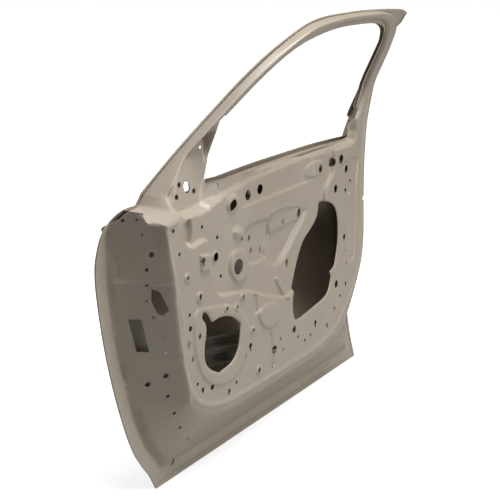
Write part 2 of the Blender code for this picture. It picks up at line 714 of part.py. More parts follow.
def panel_openings():
    """Every opening of the inner panel."""
    loops = [window_loop]
    for shares in (speaker_shares, service_shares, harness_shares, check_strap_shares, latch_slot_shares):
        loops.append(spline_loop(shares, detail_spacing))
    for kind, x, z, tilt in trim_hole_shares + sail_hole_shares + wall_hole_shares:
        loops.append(hole_loop(kind, x, z, tilt, panel_depth))
    return loops


def make_inner_panel():
    creases = [rim_loop, *wall_rings(), ledge_loop, inset_loop(ledge_loop, belt_ledge_run)]
    creases += [inset_loop(window_loop, -window_flange_run)]
    for outline, _ in flat_seats:
        creases += [inset_loop(outline, seat_border), outline, inset_loop(outline, -seat_blend)]
    creases += emboss_creases()
    pressed_sheet(
        "inner_panel", panel_edge, panel_openings(), creases, panel_depth, inner_sheet, panel_grid, primer_finish
    )


# Outer panel

def make_outer_panel():
    """The outer skin with its edge folded round the inner panel's flange."""
    fold = inset_loop(hem_loop, outer_sheet)
    seat = [handle_outline, inset_loop(handle_outline, -seat_blend)]
    belt = [inset_loop(skin_window_loop, -reach) for reach in (outer_belt_flat, outer_belt_flat + outer_belt_run)]
    flat, faces = flat_mesh(hem_loop, [skin_window_loop], [fold, return_ring, flange_ring, *seat, *belt], skin_grid)
    depth = skin_depth(flat)
    factor = steepness(lifted(flat, depth), faces)
    flange = hem_depth(flat)
    clear = (inner_sheet + hem_gap) * factor
    layers = [
        depth + clear + outer_sheet * factor,
        depth + clear,
        flange - hem_gap * factor,
        flange - (hem_gap + outer_sheet) * factor,
    ]
    centres = flat[faces].mean(1)
    in_fold = loop_distance(centres, fold) > 0
    in_return = loop_distance(centres, return_ring) > 0
    parts = [faces, faces[in_fold], faces[in_fold & ~in_return], faces[~in_return]]
    count = len(flat)
    solid = []
    for layer, part in enumerate(parts):
        solid += [tuple(v + layer * count for v in face) for face in part.tolist()]
    joins = [(0, 3, hem_loop), (1, 2, fold), (2, 3, return_ring), (0, 1, skin_window_loop)]
    for first, second, loop in joins:
        for a, b in border(parts[first]):
            if np.abs(loop_distance(flat[[a, b]], loop)).max() < 1e-6:
                solid.append((a + first * count, b + first * count, b + second * count, a + second * count))
    verts = np.concatenate([lifted(flat, layer) for layer in layers])
    used = np.unique([v for face in solid for v in face])
    number = {old: new for new, old in enumerate(used.tolist())}
    faces = [tuple(number[v] for v in face) for face in solid]
    finish_object("outer_panel", verts[used], faces, primer_finish)


# Plates on the flat seats

def seat_tilt(plane):
    return math.sqrt(1 + plane[0] ** 2 + plane[1] ** 2)


def seat_plate(name, plane, outline_shares, openings, clearance, thickness, finish):
    """A flat plate parallel to a seat, a clearance behind the seat's inboard face."""
    outline = np.array([p[:2] for p in places(outline_shares)])
    pressed_sheet(
        name, outline, openings, [], lambda points: plane_depth(points, plane), thickness, 0, finish, clearance
    )


def bolt_openings(plane, kind, hole_shares):
    return [hole_loop(kind, x, z, 0, lambda points: plane_depth(points, plane)) for x, z in hole_shares]


upper_plate_shares = [(-0.051, 0.582), (-0.077, 0.582), (-0.069, 0.490), (-0.031, 0.490)]
lower_plate_shares = [(-0.003, 0.300), (-0.046, 0.300), (-0.028, 0.211), (0.025, 0.211)]
upper_tapping_shares = [(-0.051, 0.578), (-0.063, 0.578), (-0.058, 0.495), (-0.038, 0.495)]
lower_tapping_shares = [(-0.002, 0.262), (-0.034, 0.262), (-0.020, 0.213), (0.018, 0.213)]
upper_bolt_shares = [(-0.055, 0.570), (-0.048, 0.503)]
lower_bolt_shares = [(-0.022, 0.250), (0.006, 0.221)]
check_plate_shares = [(-0.044, 0.467), (-0.064, 0.467), (-0.055, 0.406), (-0.033, 0.406), (-0.041, 0.440)]
latch_plate_shares = [(0.900, 0.557), (0.937, 0.557), (0.941, 0.443), (0.904, 0.443)]
latch_window_shares = [(0.902, 0.490), (0.931, 0.490), (0.931, 0.514), (0.902, 0.514)]
latch_bolt_shares = [(0.920, 0.455), (0.922, 0.545)]
sail_plate_shares = [
    (0.045, 0.633), (0.057, 0.616), (0.118, 0.619), (0.127, 0.640), (0.145, 0.659), (0.166, 0.704), (0.145, 0.727),
    (0.106, 0.703), (0.057, 0.655),
]
sail_bolt_shares = [(0.071, 0.662), (0.056, 0.639), (0.120, 0.642)]
mirror_window_shares = [(0.083, 0.640), (0.107, 0.640), (0.107, 0.668), (0.083, 0.668)]
plate_sheet = 0.0020
tapping_plate = 0.0060


def make_seat_plates():
    behind = inner_sheet + seat_gap
    last = behind + plate_sheet + seat_gap
    upper, lower = upper_hinge_seat[1], lower_hinge_seat[1]
    upper_bolts = bolt_openings(upper, "tapped", upper_bolt_shares)
    lower_bolts = bolt_openings(lower, "tapped", lower_bolt_shares)
    seat_plate(
        "upper_hinge_reinforcement", upper, upper_plate_shares, bolt_openings(upper, "bolt", upper_bolt_shares),
        behind, plate_sheet, brace_finish,
    )
    seat_plate(
        "lower_hinge_reinforcement", lower, lower_plate_shares, bolt_openings(lower, "bolt", lower_bolt_shares),
        behind, plate_sheet, brace_finish,
    )
    seat_plate("upper_tapping_plate", upper, upper_tapping_shares, upper_bolts, last, tapping_plate, steel_finish)
    seat_plate("lower_tapping_plate", lower, lower_tapping_shares, lower_bolts, last, tapping_plate, steel_finish)
    seat_plate("door_check_reinforcement", check_seat[1], check_plate_shares, [], behind, plate_sheet, brace_finish)
    latch_window = [np.array([p[:2] for p in places(latch_window_shares)])]
    latch_bolts = bolt_openings(latch_seat[1], "bolt", latch_bolt_shares)
    seat_plate(
        "latch_reinforcement", latch_seat[1], latch_plate_shares, latch_window + latch_bolts, behind, plate_sheet,
        brace_finish,
    )
    mirror_window = [np.array([p[:2] for p in places(mirror_window_shares)])]
    sail_bolts = bolt_openings(sail_seat[1], "tapped", sail_bolt_shares)
    seat_plate(
        "mirror_reinforcement", sail_seat[1], sail_plate_shares, mirror_window + sail_bolts, behind, plate_sheet,
        brace_finish,
    )


# Mirror nuts

nut_width = 0.0150
nut_bore = 0.0082
nut_height = 0.0065
nut_sides = 12


def make_nut(name, seat, x, z, clearance):
    """A six-sided weld nut whose end face stands a clearance behind a seat."""
    plane = seat[1]
    flat = np.array([[x * door_length, z * door_height]])
    normal = np.array([-plane[0], 1.0, -plane[1]]) / seat_tilt(plane)
    base = lifted(flat, plane_depth(flat, plane))[0] + normal * clearance
    across = np.cross(normal, [0.0, 0.0, 1.0])
    across /= np.linalg.norm(across)
    up = np.cross(across, normal)
    rows_in, rows_out = [], []
    for k in range(nut_sides):
        turn = k / nut_sides * math.tau
        way = across * math.cos(turn) + up * math.sin(turn)
        reach = nut_width / 2 / (math.cos(math.pi / 6) if k % 2 else 1.0)
        rows_in.append([base + way * nut_bore / 2, base + way * nut_bore / 2 + normal * nut_height])
        rows_out.append([base + way * reach, base + way * reach + normal * nut_height])
    between_grids(name, rows_in, rows_out, steel_finish, closed=True)


def make_mirror_nuts():
    clearance = inner_sheet + plate_sheet + 2 * seat_gap
    for number, (x, z) in enumerate(sail_bolt_shares, 1):
        make_nut(f"mirror_nut_{number}", sail_seat, x, z, clearance)


# Belt rails

inner_rail_shares = (0.185, 0.790)
outer_rail_shares = (0.200, 0.860)
rail_stations = 9
rail_sheet = 0.0012
belt_rail_clearance = 0.0006
inner_rail_section = [(0.0, -0.003), (0.0, -0.015), (0.013, -0.021), (0.013, -0.058), (-0.004, -0.066), (-0.004, -0.078)]
outer_rail_section = [(0.0, -0.003), (0.0, -0.012), (-0.008, -0.018), (-0.008, -0.054), (0.004, -0.060)]


def belt_height(x, loop):
    """Height of a window opening's bottom edge at a place along the door."""
    low = loop[loop[:, 1] < window_bottom_share * door_height]
    order = np.argsort(low[:, 0])
    return np.interp(x, low[order, 0], low[order, 1])


def make_inner_belt_rail():
    sections = []
    start, end = inner_rail_shares
    face = belt_recess + inner_sheet + belt_rail_clearance + rail_sheet / 2
    for x in np.linspace(start, end, rail_stations) * door_length:
        top = belt_height(x, window_loop)
        sections.append([(x, face + dy, top + dz) for dy, dz in inner_rail_section])
    folded_sheet("inner_belt_reinforcement", sections, rail_sheet, brace_finish)


def make_outer_belt_rail():
    sections = []
    start, end = outer_rail_shares
    for x in np.linspace(start, end, rail_stations) * door_length:
        top = belt_height(x, skin_window_loop)
        section = []
        for dy, dz in outer_rail_section:
            on_flat = np.array([[x, top + max(dz, outer_rail_section[1][1])]])
            skin = skin_depth(on_flat)[0] + inner_sheet + hem_gap
            section.append((x, skin - outer_rail_clearance - rail_sheet / 2 + dy, top + dz))
        sections.append(section)
    folded_sheet("outer_belt_reinforcement", sections, rail_sheet, brace_finish)


# Side impact beam and its brackets

beam_end_shares = [(-0.006, 0.286), (0.872, 0.122)]
beam_stand_offs = (0.0347, 0.0329)
beam_rise = 0.018
beam_sheet = 0.0016
beam_section = [
    (0.0, -0.040), (0.0, -0.034), (1.0, -0.028), (1.0, -0.012), (0.0, -0.006), (0.0, 0.006), (1.0, 0.012),
    (1.0, 0.028), (0.0, 0.034), (0.0, 0.040),
]
beam_stations = 7
bracket_sheet = 0.0015
front_bracket_foot_share = -0.010
front_bracket_height_shares = (0.2675, 0.298)
front_bracket_run = 0.055
rear_bracket_foot_share = 0.880
rear_bracket_height_shares = (0.104, 0.150)
rear_bracket_run = -0.050


def make_beam_base_depths():
    """Depths of the beam's base at its ends, each a stand-off inboard of the skin."""
    ends = np.array([place[:2] for place in places(beam_end_shares)])
    return skin_depth(ends) - np.array(beam_stand_offs)


beam_base_depths = make_beam_base_depths()


def beam_place(t):
    """Centre of the beam's base at a share of its length."""
    (x0, z0), (x1, z1) = beam_end_shares
    low, high = beam_base_depths
    return (x0 + (x1 - x0) * t) * door_length, low + (high - low) * t, (z0 + (z1 - z0) * t) * door_height


def beam_underside(x):
    """Depth of the beam's inboard face at a place along the door."""
    (x0, _), (x1, _) = beam_end_shares
    t = (x / door_length - x0) / (x1 - x0)
    return beam_place(t)[1] - beam_sheet / 2


def make_beam():
    sections = []
    for t in np.linspace(0, 1, beam_stations):
        x, y, z = beam_place(t)
        sections.append([(x, y + rise * beam_rise, z + dz) for rise, dz in beam_section])
    folded_sheet("intrusion_beam", sections, beam_sheet, brace_finish)


def make_beam_bracket(name, seat, seat_from, reach, end, heights):
    """A folded bracket: one leg on a seat of the inner panel, the other under the beam's end."""
    plane = seat[1]
    offset = (inner_sheet + plate_sheet + 2 * seat_gap + bracket_sheet / 2) * seat_tilt(plane)
    x_far = beam_place(end)[0] + reach
    far = beam_underside(x_far) - seat_gap - bracket_sheet / 2
    sections = []
    for z in np.linspace(heights[0], heights[1], 3) * door_height:
        start = np.array([[seat_from * door_length, z]])
        depth = plane_depth(start, plane)[0] + offset
        crest = start[0][0] + (beam_underside(start[0][0]) - seat_gap - bracket_sheet / 2 - depth) / plane[0]
        under = beam_underside(crest) - seat_gap - bracket_sheet / 2
        sections.append([(start[0][0], depth, z), (crest, under, z), (x_far, far, z)])
    folded_sheet(name, sections, bracket_sheet, brace_finish)


# Glass channels

channel_width = 0.016
channel_leg = 0.014
channel_sheet = 0.0010
channel_depth = 0.0460
front_channel_shares = [(0.212, 0.640), (0.205, 0.400)]
rear_channel_shares = [(0.852, 0.640), (0.868, 0.300)]


def make_glass_channel(name, ends, opens):
    """An upright U of sheet that guides one edge of the glass; its mouth faces along the door."""
    sections = []
    for x, z in ends:
        x, z = x * door_length, z * door_height
        half = channel_width / 2
        section = [(opens * channel_leg, -half), (0.0, -half), (0.0, half), (opens * channel_leg, half)]
        sections.append([(x + dx, channel_depth + dy, z) for dx, dy in section])
    folded_sheet(name, sections, channel_sheet, brace_finish)


def make_channel_bracket(name, ends, share, opens, foot):
    """A folded strip that ties a glass channel to the inner panel."""
    (x0, z0), (x1, z1) = ends
    sections = []
    for part in (share - bracket_half_share, share + bracket_half_share):
        x = (x0 + (x1 - x0) * part) * door_length
        z = (z0 + (z1 - z0) * part) * door_height
        face = channel_depth - channel_width / 2 - channel_sheet / 2 - seat_gap - bracket_sheet / 2
        near, crest = x, x + opens * channel_leg
        far = crest + opens * bracket_reach
        base = panel_depth(np.array([[far + opens * foot, z], [far, z]])).max() + inner_sheet + seat_gap
        base += bracket_sheet / 2
        sections.append([(near, face, z), (crest, face, z), (far, base, z), (far + opens * foot, base, z)])
    folded_sheet(name, sections, bracket_sheet, brace_finish)


bracket_half_share = 0.06
bracket_reach = 0.012


# Glass run channel round the window

run_lip = 0.010
run_back = 0.007
run_depth = 0.009
run_sheet = 0.0009
run_start_share = 0.070


def make_window_channel():
    """The U of rolled sheet that holds the glass seal round the window, between inner panel and skin."""
    front = window_loop[:, 0] < run_middle_share * door_length
    up = window_loop[:, 1] > np.where(front, *run_bottom_shares) * door_height
    order = np.flatnonzero(up)
    breaks = np.flatnonzero(np.diff(order) > 1)
    if len(breaks):
        order = np.concatenate([order[breaks[0] + 1:], order[:breaks[0] + 1]])
    path = window_loop[order]
    inward = loop_normals(window_loop)[order]
    front = rim_depth(path) + window_flange + inner_sheet * run_clear + seat_gap + run_sheet / 2
    sections = []
    for place, way, y in zip(path, inward, front):
        section = [(run_lip, 0.0), (-run_back, 0.0), (-run_back, run_depth), (run_lip, run_depth)]
        sections.append([(place[0] + way[0] * reach, y + dy, place[1] + way[1] * reach) for reach, dy in section])
    folded_sheet("window_channel", sections, run_sheet, brace_finish)


# Outer handle plate and sound-deadening pads

handle_plate_shares = [(0.775, 0.576), (0.775, 0.524), (0.895, 0.524), (0.895, 0.576)]
handle_window_shares = [(0.800, 0.560), (0.800, 0.540), (0.860, 0.540), (0.860, 0.560)]
pad_place_shares = [0.22, 0.50, 0.78]
pad_length = 0.070
pad_height_size = 0.012
pad_skin_gap = 0.0020


def make_handle_plate():
    window = [np.array([p[:2] for p in places(handle_window_shares)])]
    plate = -(plate_sheet + seat_gap) + (inner_sheet + hem_gap)
    seat_plate("handle_reinforcement", handle_plane, handle_plate_shares, window, plate, plate_sheet, brace_finish)


def make_pad(number, share):
    """A strip of mastic between the beam's crest and the skin."""
    x, y, z = beam_place(share)
    slope = (beam_end_shares[1][1] - beam_end_shares[0][1]) * door_height
    slope /= (beam_end_shares[1][0] - beam_end_shares[0][0]) * door_length
    dip = (beam_base_depths[1] - beam_base_depths[0]) / ((beam_end_shares[1][0] - beam_end_shares[0][0]) * door_length)
    middle = (beam_section[6][1] + beam_section[7][1]) / 2
    rows_in, rows_out = [], []
    for along in np.linspace(-pad_length / 2, pad_length / 2, 5):
        ends = math.sqrt(max(0.0, 1 - (abs(along) / (pad_length / 2)) ** 4)) * 0.5 + 0.5
        row_in, row_out = [], []
        for side in (-1, 1):
            pz = z + middle + slope * along + side * pad_height_size / 2 * ends
            crest = y + dip * along + beam_rise + beam_sheet / 2 + seat_gap
            skin = skin_depth(np.array([[x + along, pz]]))[0] + inner_sheet + seat_gap - pad_skin_gap
            row_in.append((x + along, crest, pz))
            row_out.append((x + along, skin, pz))
        rows_in.append(row_in)
        rows_out.append(row_out)
    between_grids(f"mastic_pad_{number}", rows_in, rows_out, mastic_finish)


origin_shares = (-0.060, 0.536)
origin_flat = np.array([[origin_shares[0] * door_length, origin_shares[1] * door_height]])
origin = Vector((origin_flat[0][0], plane_depth(origin_flat, upper_hinge_seat[1])[0], origin_flat[0][1]))


def clear_scene():
    for obj in list(bpy.data.objects):
        bpy.data.objects.remove(obj)


def main():
    clear_scene()
    make_inner_panel()
    make_outer_panel()
    make_seat_plates()
    make_mirror_nuts()
    make_inner_belt_rail()
    make_outer_belt_rail()
    make_beam()
    make_beam_bracket(
        "beam_front_bracket", lower_hinge_seat, front_bracket_foot_share, front_bracket_run, 0.0,
        front_bracket_height_shares,
    )
    make_beam_bracket(
        "beam_rear_bracket", beam_seat, rear_bracket_foot_share, rear_bracket_run, 1.0, rear_bracket_height_shares
    )
    make_glass_channel("front_glass_channel", front_channel_shares, 1)
    make_glass_channel("rear_glass_channel", rear_channel_shares, -1)
    make_channel_bracket("front_channel_bracket", front_channel_shares, 0.50, 1, 0.014)
    make_channel_bracket("rear_channel_bracket", rear_channel_shares, 0.90, -1, 0.010)
    make_window_channel()
    make_handle_plate()
    for number, share in enumerate(pad_place_shares, 1):
        make_pad(number, share)


main()
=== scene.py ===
import math
from functools import partial

import bpy
import numpy as np
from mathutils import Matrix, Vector
from mathutils.geometry import delaunay_2d_cdt


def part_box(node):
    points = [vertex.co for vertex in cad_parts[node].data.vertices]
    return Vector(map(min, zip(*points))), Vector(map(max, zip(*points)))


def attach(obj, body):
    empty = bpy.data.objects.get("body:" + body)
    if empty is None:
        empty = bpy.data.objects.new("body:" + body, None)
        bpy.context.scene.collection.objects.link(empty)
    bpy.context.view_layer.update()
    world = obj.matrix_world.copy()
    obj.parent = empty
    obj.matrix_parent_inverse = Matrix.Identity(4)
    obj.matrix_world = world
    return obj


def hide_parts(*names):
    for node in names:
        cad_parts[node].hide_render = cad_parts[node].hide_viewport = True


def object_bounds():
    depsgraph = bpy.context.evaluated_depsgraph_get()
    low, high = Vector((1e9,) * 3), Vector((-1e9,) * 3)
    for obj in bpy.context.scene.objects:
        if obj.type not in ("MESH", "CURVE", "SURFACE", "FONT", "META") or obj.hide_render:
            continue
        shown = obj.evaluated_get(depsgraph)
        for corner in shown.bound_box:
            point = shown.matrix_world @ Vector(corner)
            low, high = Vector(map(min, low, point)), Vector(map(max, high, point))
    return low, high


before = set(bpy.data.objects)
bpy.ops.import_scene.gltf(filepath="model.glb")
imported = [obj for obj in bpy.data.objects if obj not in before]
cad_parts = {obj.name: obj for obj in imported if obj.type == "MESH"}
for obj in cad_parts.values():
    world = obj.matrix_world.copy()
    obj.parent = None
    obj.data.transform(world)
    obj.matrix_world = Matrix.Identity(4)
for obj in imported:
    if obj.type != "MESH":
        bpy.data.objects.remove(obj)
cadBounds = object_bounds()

# A bare right front car door shell in primer. Lengths are in metres, X rearwards, Y outboard, Z up.
# A table whose name ends in Shares gives places as shares of the door's length and height.

doorLength = 1.020
doorHeight = 1.060
doorDepth = 0.124
origin = np.array([-0.0612, 0.067345, 0.56816])

# Most that a sheet is thickened on a slope, spacings along loops, and tolerances
steepest = 3.0
loopStep = 0.008
edgeStep = 0.005
onLoop = 1e-6
mergeReach = 1e-7
tiny = 1e-12

# Depth of the hem line below the trim plane, by height
hemDepthShares = [
    (0.0, 0.60), (0.10, 0.78), (0.24, 0.93), (0.38, 1.0), (0.52, 0.985), (0.61, 0.91),
    (0.66, 0.81), (0.71, 0.66), (0.755, 0.49), (0.80, 0.31), (0.85, 0.105), (0.896, -0.105),
    (0.943, -0.32), (1.0, -0.58),
]

# Outer edge of the door. A third value of True marks a sharp corner.
hemShares = [
    (0.0, 0.0, True), (-0.013, 0.034), (-0.027, 0.056), (-0.046, 0.093), (-0.063, 0.148),
    (-0.090, 0.275), (-0.112, 0.415), (-0.122, 0.515), (-0.112, 0.564), (-0.101, 0.586),
    (-0.084, 0.603), (-0.063, 0.616), (-0.040, 0.623), (0.002, 0.625, True),
    (0.015, 0.650, True), (0.063, 0.691), (0.173, 0.791), (0.274, 0.882), (0.346, 0.932),
    (0.459, 0.982), (0.630, 0.998), (0.785, 1.002), (0.939, 0.999), (0.985, 0.990, True),
    (0.980, 0.964, True), (0.965, 0.955, True), (0.964, 0.875), (0.966, 0.790), (0.975, 0.650),
    (0.990, 0.425), (1.0, 0.190), (0.997, 0.060), (1.0, 0.0, True),
]

# Ridge between the trim plane and the walls that face the body
rimShares = [
    (-0.043, 0.597), (-0.025, 0.511), (0.003, 0.396), (0.009, 0.302), (0.024, 0.247),
    (0.061, 0.190), (0.147, 0.153), (0.294, 0.143), (0.460, 0.144), (0.627, 0.147),
    (0.730, 0.171), (0.809, 0.229), (0.875, 0.325), (0.889, 0.406), (0.878, 0.566),
    (0.886, 0.703), (0.917, 0.799), (0.920, 0.877), (0.878, 0.959), (0.797, 0.989),
    (0.647, 0.990), (0.530, 0.982), (0.424, 0.960), (0.302, 0.885), (0.174, 0.779),
    (0.062, 0.673), (0.024, 0.633), (0.000, 0.614), (-0.031, 0.606),
]

# Window opening of the inner panel
windowShares = [
    (0.157, 0.651, True), (0.181, 0.693), (0.193, 0.741), (0.191, 0.783, True), (0.232, 0.813),
    (0.310, 0.878), (0.365, 0.917), (0.431, 0.947), (0.534, 0.970), (0.647, 0.978),
    (0.775, 0.977), (0.835, 0.961), (0.869, 0.922), (0.878, 0.880), (0.881, 0.835),
    (0.873, 0.787), (0.850, 0.746), (0.826, 0.715), (0.808, 0.676, True), (0.713, 0.666),
    (0.430, 0.658),
]

# Window opening of the outer skin
skinWindowShares = [
    (0.176, 0.648, True), (0.190, 0.700), (0.203, 0.748, True), (0.240, 0.788), (0.330, 0.868),
    (0.395, 0.918), (0.470, 0.947), (0.560, 0.964), (0.680, 0.971), (0.800, 0.969),
    (0.870, 0.952), (0.905, 0.918), (0.922, 0.860), (0.926, 0.790), (0.926, 0.730),
    (0.934, 0.668, True), (0.787, 0.668), (0.480, 0.660),
]

# Flat seats pressed into the curved walls, each a quadrilateral
upperHingeSeatShares = [(-0.049, 0.585), (-0.082, 0.585), (-0.073, 0.487), (-0.027, 0.487)]
checkSeatShares = [(-0.022, 0.470), (-0.070, 0.470), (-0.057, 0.318), (0.000, 0.318)]
lowerHingeSeatShares = [(0.001, 0.303), (-0.052, 0.303), (-0.033, 0.208), (0.030, 0.208)]
beamSeatShares = [(0.868, 0.170), (0.912, 0.170), (0.912, 0.095), (0.868, 0.095)]
latchSeatShares = [(0.897, 0.560), (0.940, 0.560), (0.944, 0.440), (0.901, 0.440)]
sailSeatShares = [
    (0.040, 0.630), (0.055, 0.612), (0.124, 0.615), (0.132, 0.634), (0.150, 0.652), (0.168, 0.690),
    (0.176, 0.750), (0.150, 0.740), (0.104, 0.706), (0.054, 0.655),
]
handleSeatShares = [(0.770, 0.580), (0.770, 0.520), (0.900, 0.520), (0.900, 0.580)]

# Speaker opening and service opening
speakerShares = [
    (0.101, 0.354), (0.093, 0.305), (0.097, 0.275), (0.117, 0.253), (0.151, 0.235, True),
    (0.208, 0.247), (0.232, 0.275), (0.241, 0.325, True), (0.204, 0.350), (0.165, 0.361),
    (0.122, 0.360, True), (0.106, 0.382), (0.093, 0.390), (0.084, 0.382),
]
serviceShares = [
    (0.636, 0.530), (0.657, 0.532), (0.691, 0.522), (0.714, 0.505), (0.730, 0.470), (0.732, 0.410),
    (0.715, 0.350, True), (0.690, 0.340, True), (0.696, 0.322), (0.674, 0.284), (0.600, 0.268),
    (0.531, 0.258, True), (0.503, 0.262), (0.491, 0.310), (0.512, 0.379), (0.552, 0.445),
    (0.606, 0.479), (0.628, 0.500),
]

# Embosses inside the rim
ledgeTopShares = [
    (0.022, 0.640, True), (0.024, 0.608), (0.055, 0.598), (0.119, 0.604), (0.150, 0.609),
    (0.200, 0.618), (0.245, 0.625), (0.374, 0.636), (0.560, 0.648), (0.709, 0.653),
    (0.760, 0.655), (0.815, 0.662), (0.832, 0.690, True), (0.832, 0.780, True),
    (0.022, 0.780, True),
]
recessShares = [
    (0.022, 0.630, True), (0.026, 0.560), (0.040, 0.542), (0.060, 0.537), (0.097, 0.543),
    (0.116, 0.536), (0.122, 0.505), (0.134, 0.450), (0.150, 0.415), (0.175, 0.404),
    (0.231, 0.397), (0.280, 0.388), (0.330, 0.368), (0.384, 0.349), (0.460, 0.330),
    (0.520, 0.340, True), (0.660, 0.500, True), (0.660, 0.560), (0.700, 0.600), (0.706, 0.665, True),
    (0.022, 0.665, True),
]
stripShares = [
    (0.262, 0.665, True), (0.270, 0.582, True), (0.333, 0.584), (0.409, 0.587), (0.489, 0.590),
    (0.600, 0.594, True), (0.604, 0.665, True),
]
bowlShares = [
    (0.395, 0.553), (0.462, 0.560), (0.537, 0.548), (0.570, 0.526), (0.555, 0.500), (0.515, 0.468),
    (0.475, 0.435), (0.430, 0.412), (0.385, 0.424), (0.354, 0.464), (0.372, 0.510),
]
speakerRingShares = [
    (0.068, 0.404), (0.052, 0.385), (0.050, 0.350), (0.055, 0.312), (0.073, 0.261), (0.108, 0.222),
    (0.164, 0.199), (0.219, 0.203), (0.261, 0.232), (0.281, 0.273), (0.275, 0.317), (0.245, 0.353),
    (0.190, 0.384), (0.123, 0.396),
]
motorBossShares = [
    (0.213, 0.491), (0.204, 0.458), (0.232, 0.420), (0.269, 0.416), (0.290, 0.440), (0.281, 0.478),
    (0.247, 0.498),
]
roundPadShares = [
    (0.317, 0.325), (0.339, 0.340), (0.386, 0.338), (0.425, 0.318), (0.425, 0.288), (0.391, 0.272),
    (0.344, 0.285),
]

# Holes of the inner panel: kind, place along the door, place up it, tilt in degrees
holeSizes = {
    "pin": (0.006, 0.006),
    "clip": (0.009, 0.009),
    "slot": (0.009, 0.015),
    "oval": (0.018, 0.022),
    "plug": (0.024, 0.025),
    "square": (0.030, 0.022),
    "keyhole": (0.015, 0.022),
    "bolt": (0.013, 0.013),
    "motor": (0.038, 0.038),
    "mirror": (0.022, 0.027),
    "drain": (0.022, 0.014),
    "tapped": (0.0082, 0.0082),
}
holeCorners = {"pin": 16, "clip": 18, "motor": 36, "tapped": 16}
usualCorners = 24
squareness = 0.7
keyholeNeck = 0.45
trimHoleShares = [
    ("square", 0.219, 0.599, 20), ("plug", 0.295, 0.607, 0), ("plug", 0.348, 0.612, 0),
    ("oval", 0.633, 0.619, 0), ("plug", 0.696, 0.626, 0), ("plug", 0.739, 0.629, 0),
    ("oval", 0.772, 0.599, 0), ("clip", 0.103, 0.572, 30), ("clip", 0.161, 0.538, 30),
    ("clip", 0.262, 0.514, 0), ("slot", 0.300, 0.508, -15), ("slot", 0.308, 0.477, -10),
    ("slot", 0.349, 0.470, -10), ("keyhole", 0.088, 0.501, 0), ("oval", 0.152, 0.497, 0),
    ("motor", 0.239, 0.456, 0), ("clip", -0.013, 0.587, 0), ("clip", 0.007, 0.535, 0),
    ("clip", 0.033, 0.479, 0), ("clip", 0.174, 0.449, 30), ("oval", 0.531, 0.525, 0),
    ("slot", 0.455, 0.516, 0), ("keyhole", 0.470, 0.411, 0), ("slot", 0.078, 0.427, -15),
    ("clip", 0.040, 0.398, 0), ("bolt", 0.042, 0.367, 0), ("keyhole", 0.035, 0.333, 0),
    ("slot", 0.073, 0.342, -10), ("slot", 0.050, 0.299, -10), ("clip", 0.178, 0.376, 0),
    ("clip", 0.225, 0.367, 20), ("slot", 0.251, 0.383, 0), ("clip", 0.296, 0.293, 0),
    ("keyhole", 0.286, 0.254, 0), ("slot", 0.264, 0.240, -15), ("oval", 0.400, 0.214, 0),
    ("clip", 0.442, 0.202, 0), ("clip", 0.428, 0.233, 20), ("slot", 0.390, 0.177, 0),
    ("slot", 0.323, 0.186, -15), ("clip", 0.224, 0.188, 0), ("slot", 0.192, 0.176, -20),
    ("bolt", 0.123, 0.210, 0), ("slot", 0.086, 0.216, 0), ("clip", 0.066, 0.236, 0),
    ("oval", 0.496, 0.236, 0), ("clip", 0.518, 0.212, 20), ("clip", 0.554, 0.192, 0),
    ("clip", 0.585, 0.198, 0), ("keyhole", 0.610, 0.220, 0), ("slot", 0.678, 0.197, 0),
    ("clip", 0.719, 0.233, 0), ("clip", 0.752, 0.260, 20), ("oval", 0.727, 0.298, 0),
    ("slot", 0.784, 0.285, 0), ("clip", 0.787, 0.343, 0), ("pin", 0.784, 0.376, 0),
    ("keyhole", 0.768, 0.415, 0), ("oval", 0.711, 0.556, 0), ("bolt", 0.774, 0.541, 0),
    ("pin", 0.797, 0.530, 0), ("clip", 0.803, 0.563, 20),
]
sailHoleShares = [
    ("bolt", 0.071, 0.662, 0), ("mirror", 0.096, 0.654, 0), ("bolt", 0.056, 0.639, 0),
    ("bolt", 0.120, 0.642, 0), ("clip", 0.166, 0.728, 0),
]
wallHoleShares = [
    ("clip", -0.073, 0.610, 0), ("pin", -0.061, 0.612, 0), ("pin", -0.055, 0.582, 0),
    ("bolt", -0.045, 0.541, 0), ("clip", -0.048, 0.509, 0), ("clip", -0.046, 0.476, 0),
    ("pin", -0.042, 0.442, 0), ("clip", -0.032, 0.405, 0), ("clip", -0.018, 0.362, 0),
    ("clip", -0.012, 0.324, 0), ("bolt", -0.004, 0.271, 0), ("bolt", -0.022, 0.250, 0),
    ("clip", 0.006, 0.221, 0), ("clip", 0.022, 0.178, 0), ("clip", 0.046, 0.135, 0),
    ("clip", 0.084, 0.094, 0), ("drain", 0.070, 0.033, 0), ("drain", 0.173, 0.040, 0),
    ("drain", 0.945, 0.060, 0), ("bolt", 0.920, 0.455, 0), ("bolt", 0.922, 0.545, 0),
]
harnessShares = [
    (-0.058, 0.400, True), (-0.044, 0.400, True), (-0.029, 0.326, True), (-0.043, 0.326, True),
]
checkStrapShares = [
    (-0.040, 0.468, True), (-0.030, 0.461, True), (-0.017, 0.421, True), (-0.022, 0.409, True),
    (-0.029, 0.413, True), (-0.038, 0.442, True),
]
latchSlotShares = [
    (0.872, 0.496, True), (0.908, 0.494, True), (0.928, 0.502), (0.908, 0.510, True),
    (0.872, 0.508, True),
]

# Plain geometry of loops in the X-Z plane


def places(shares):
    return [(p[0] * doorLength, p[1] * doorHeight, len(p) > 2) for p in shares]


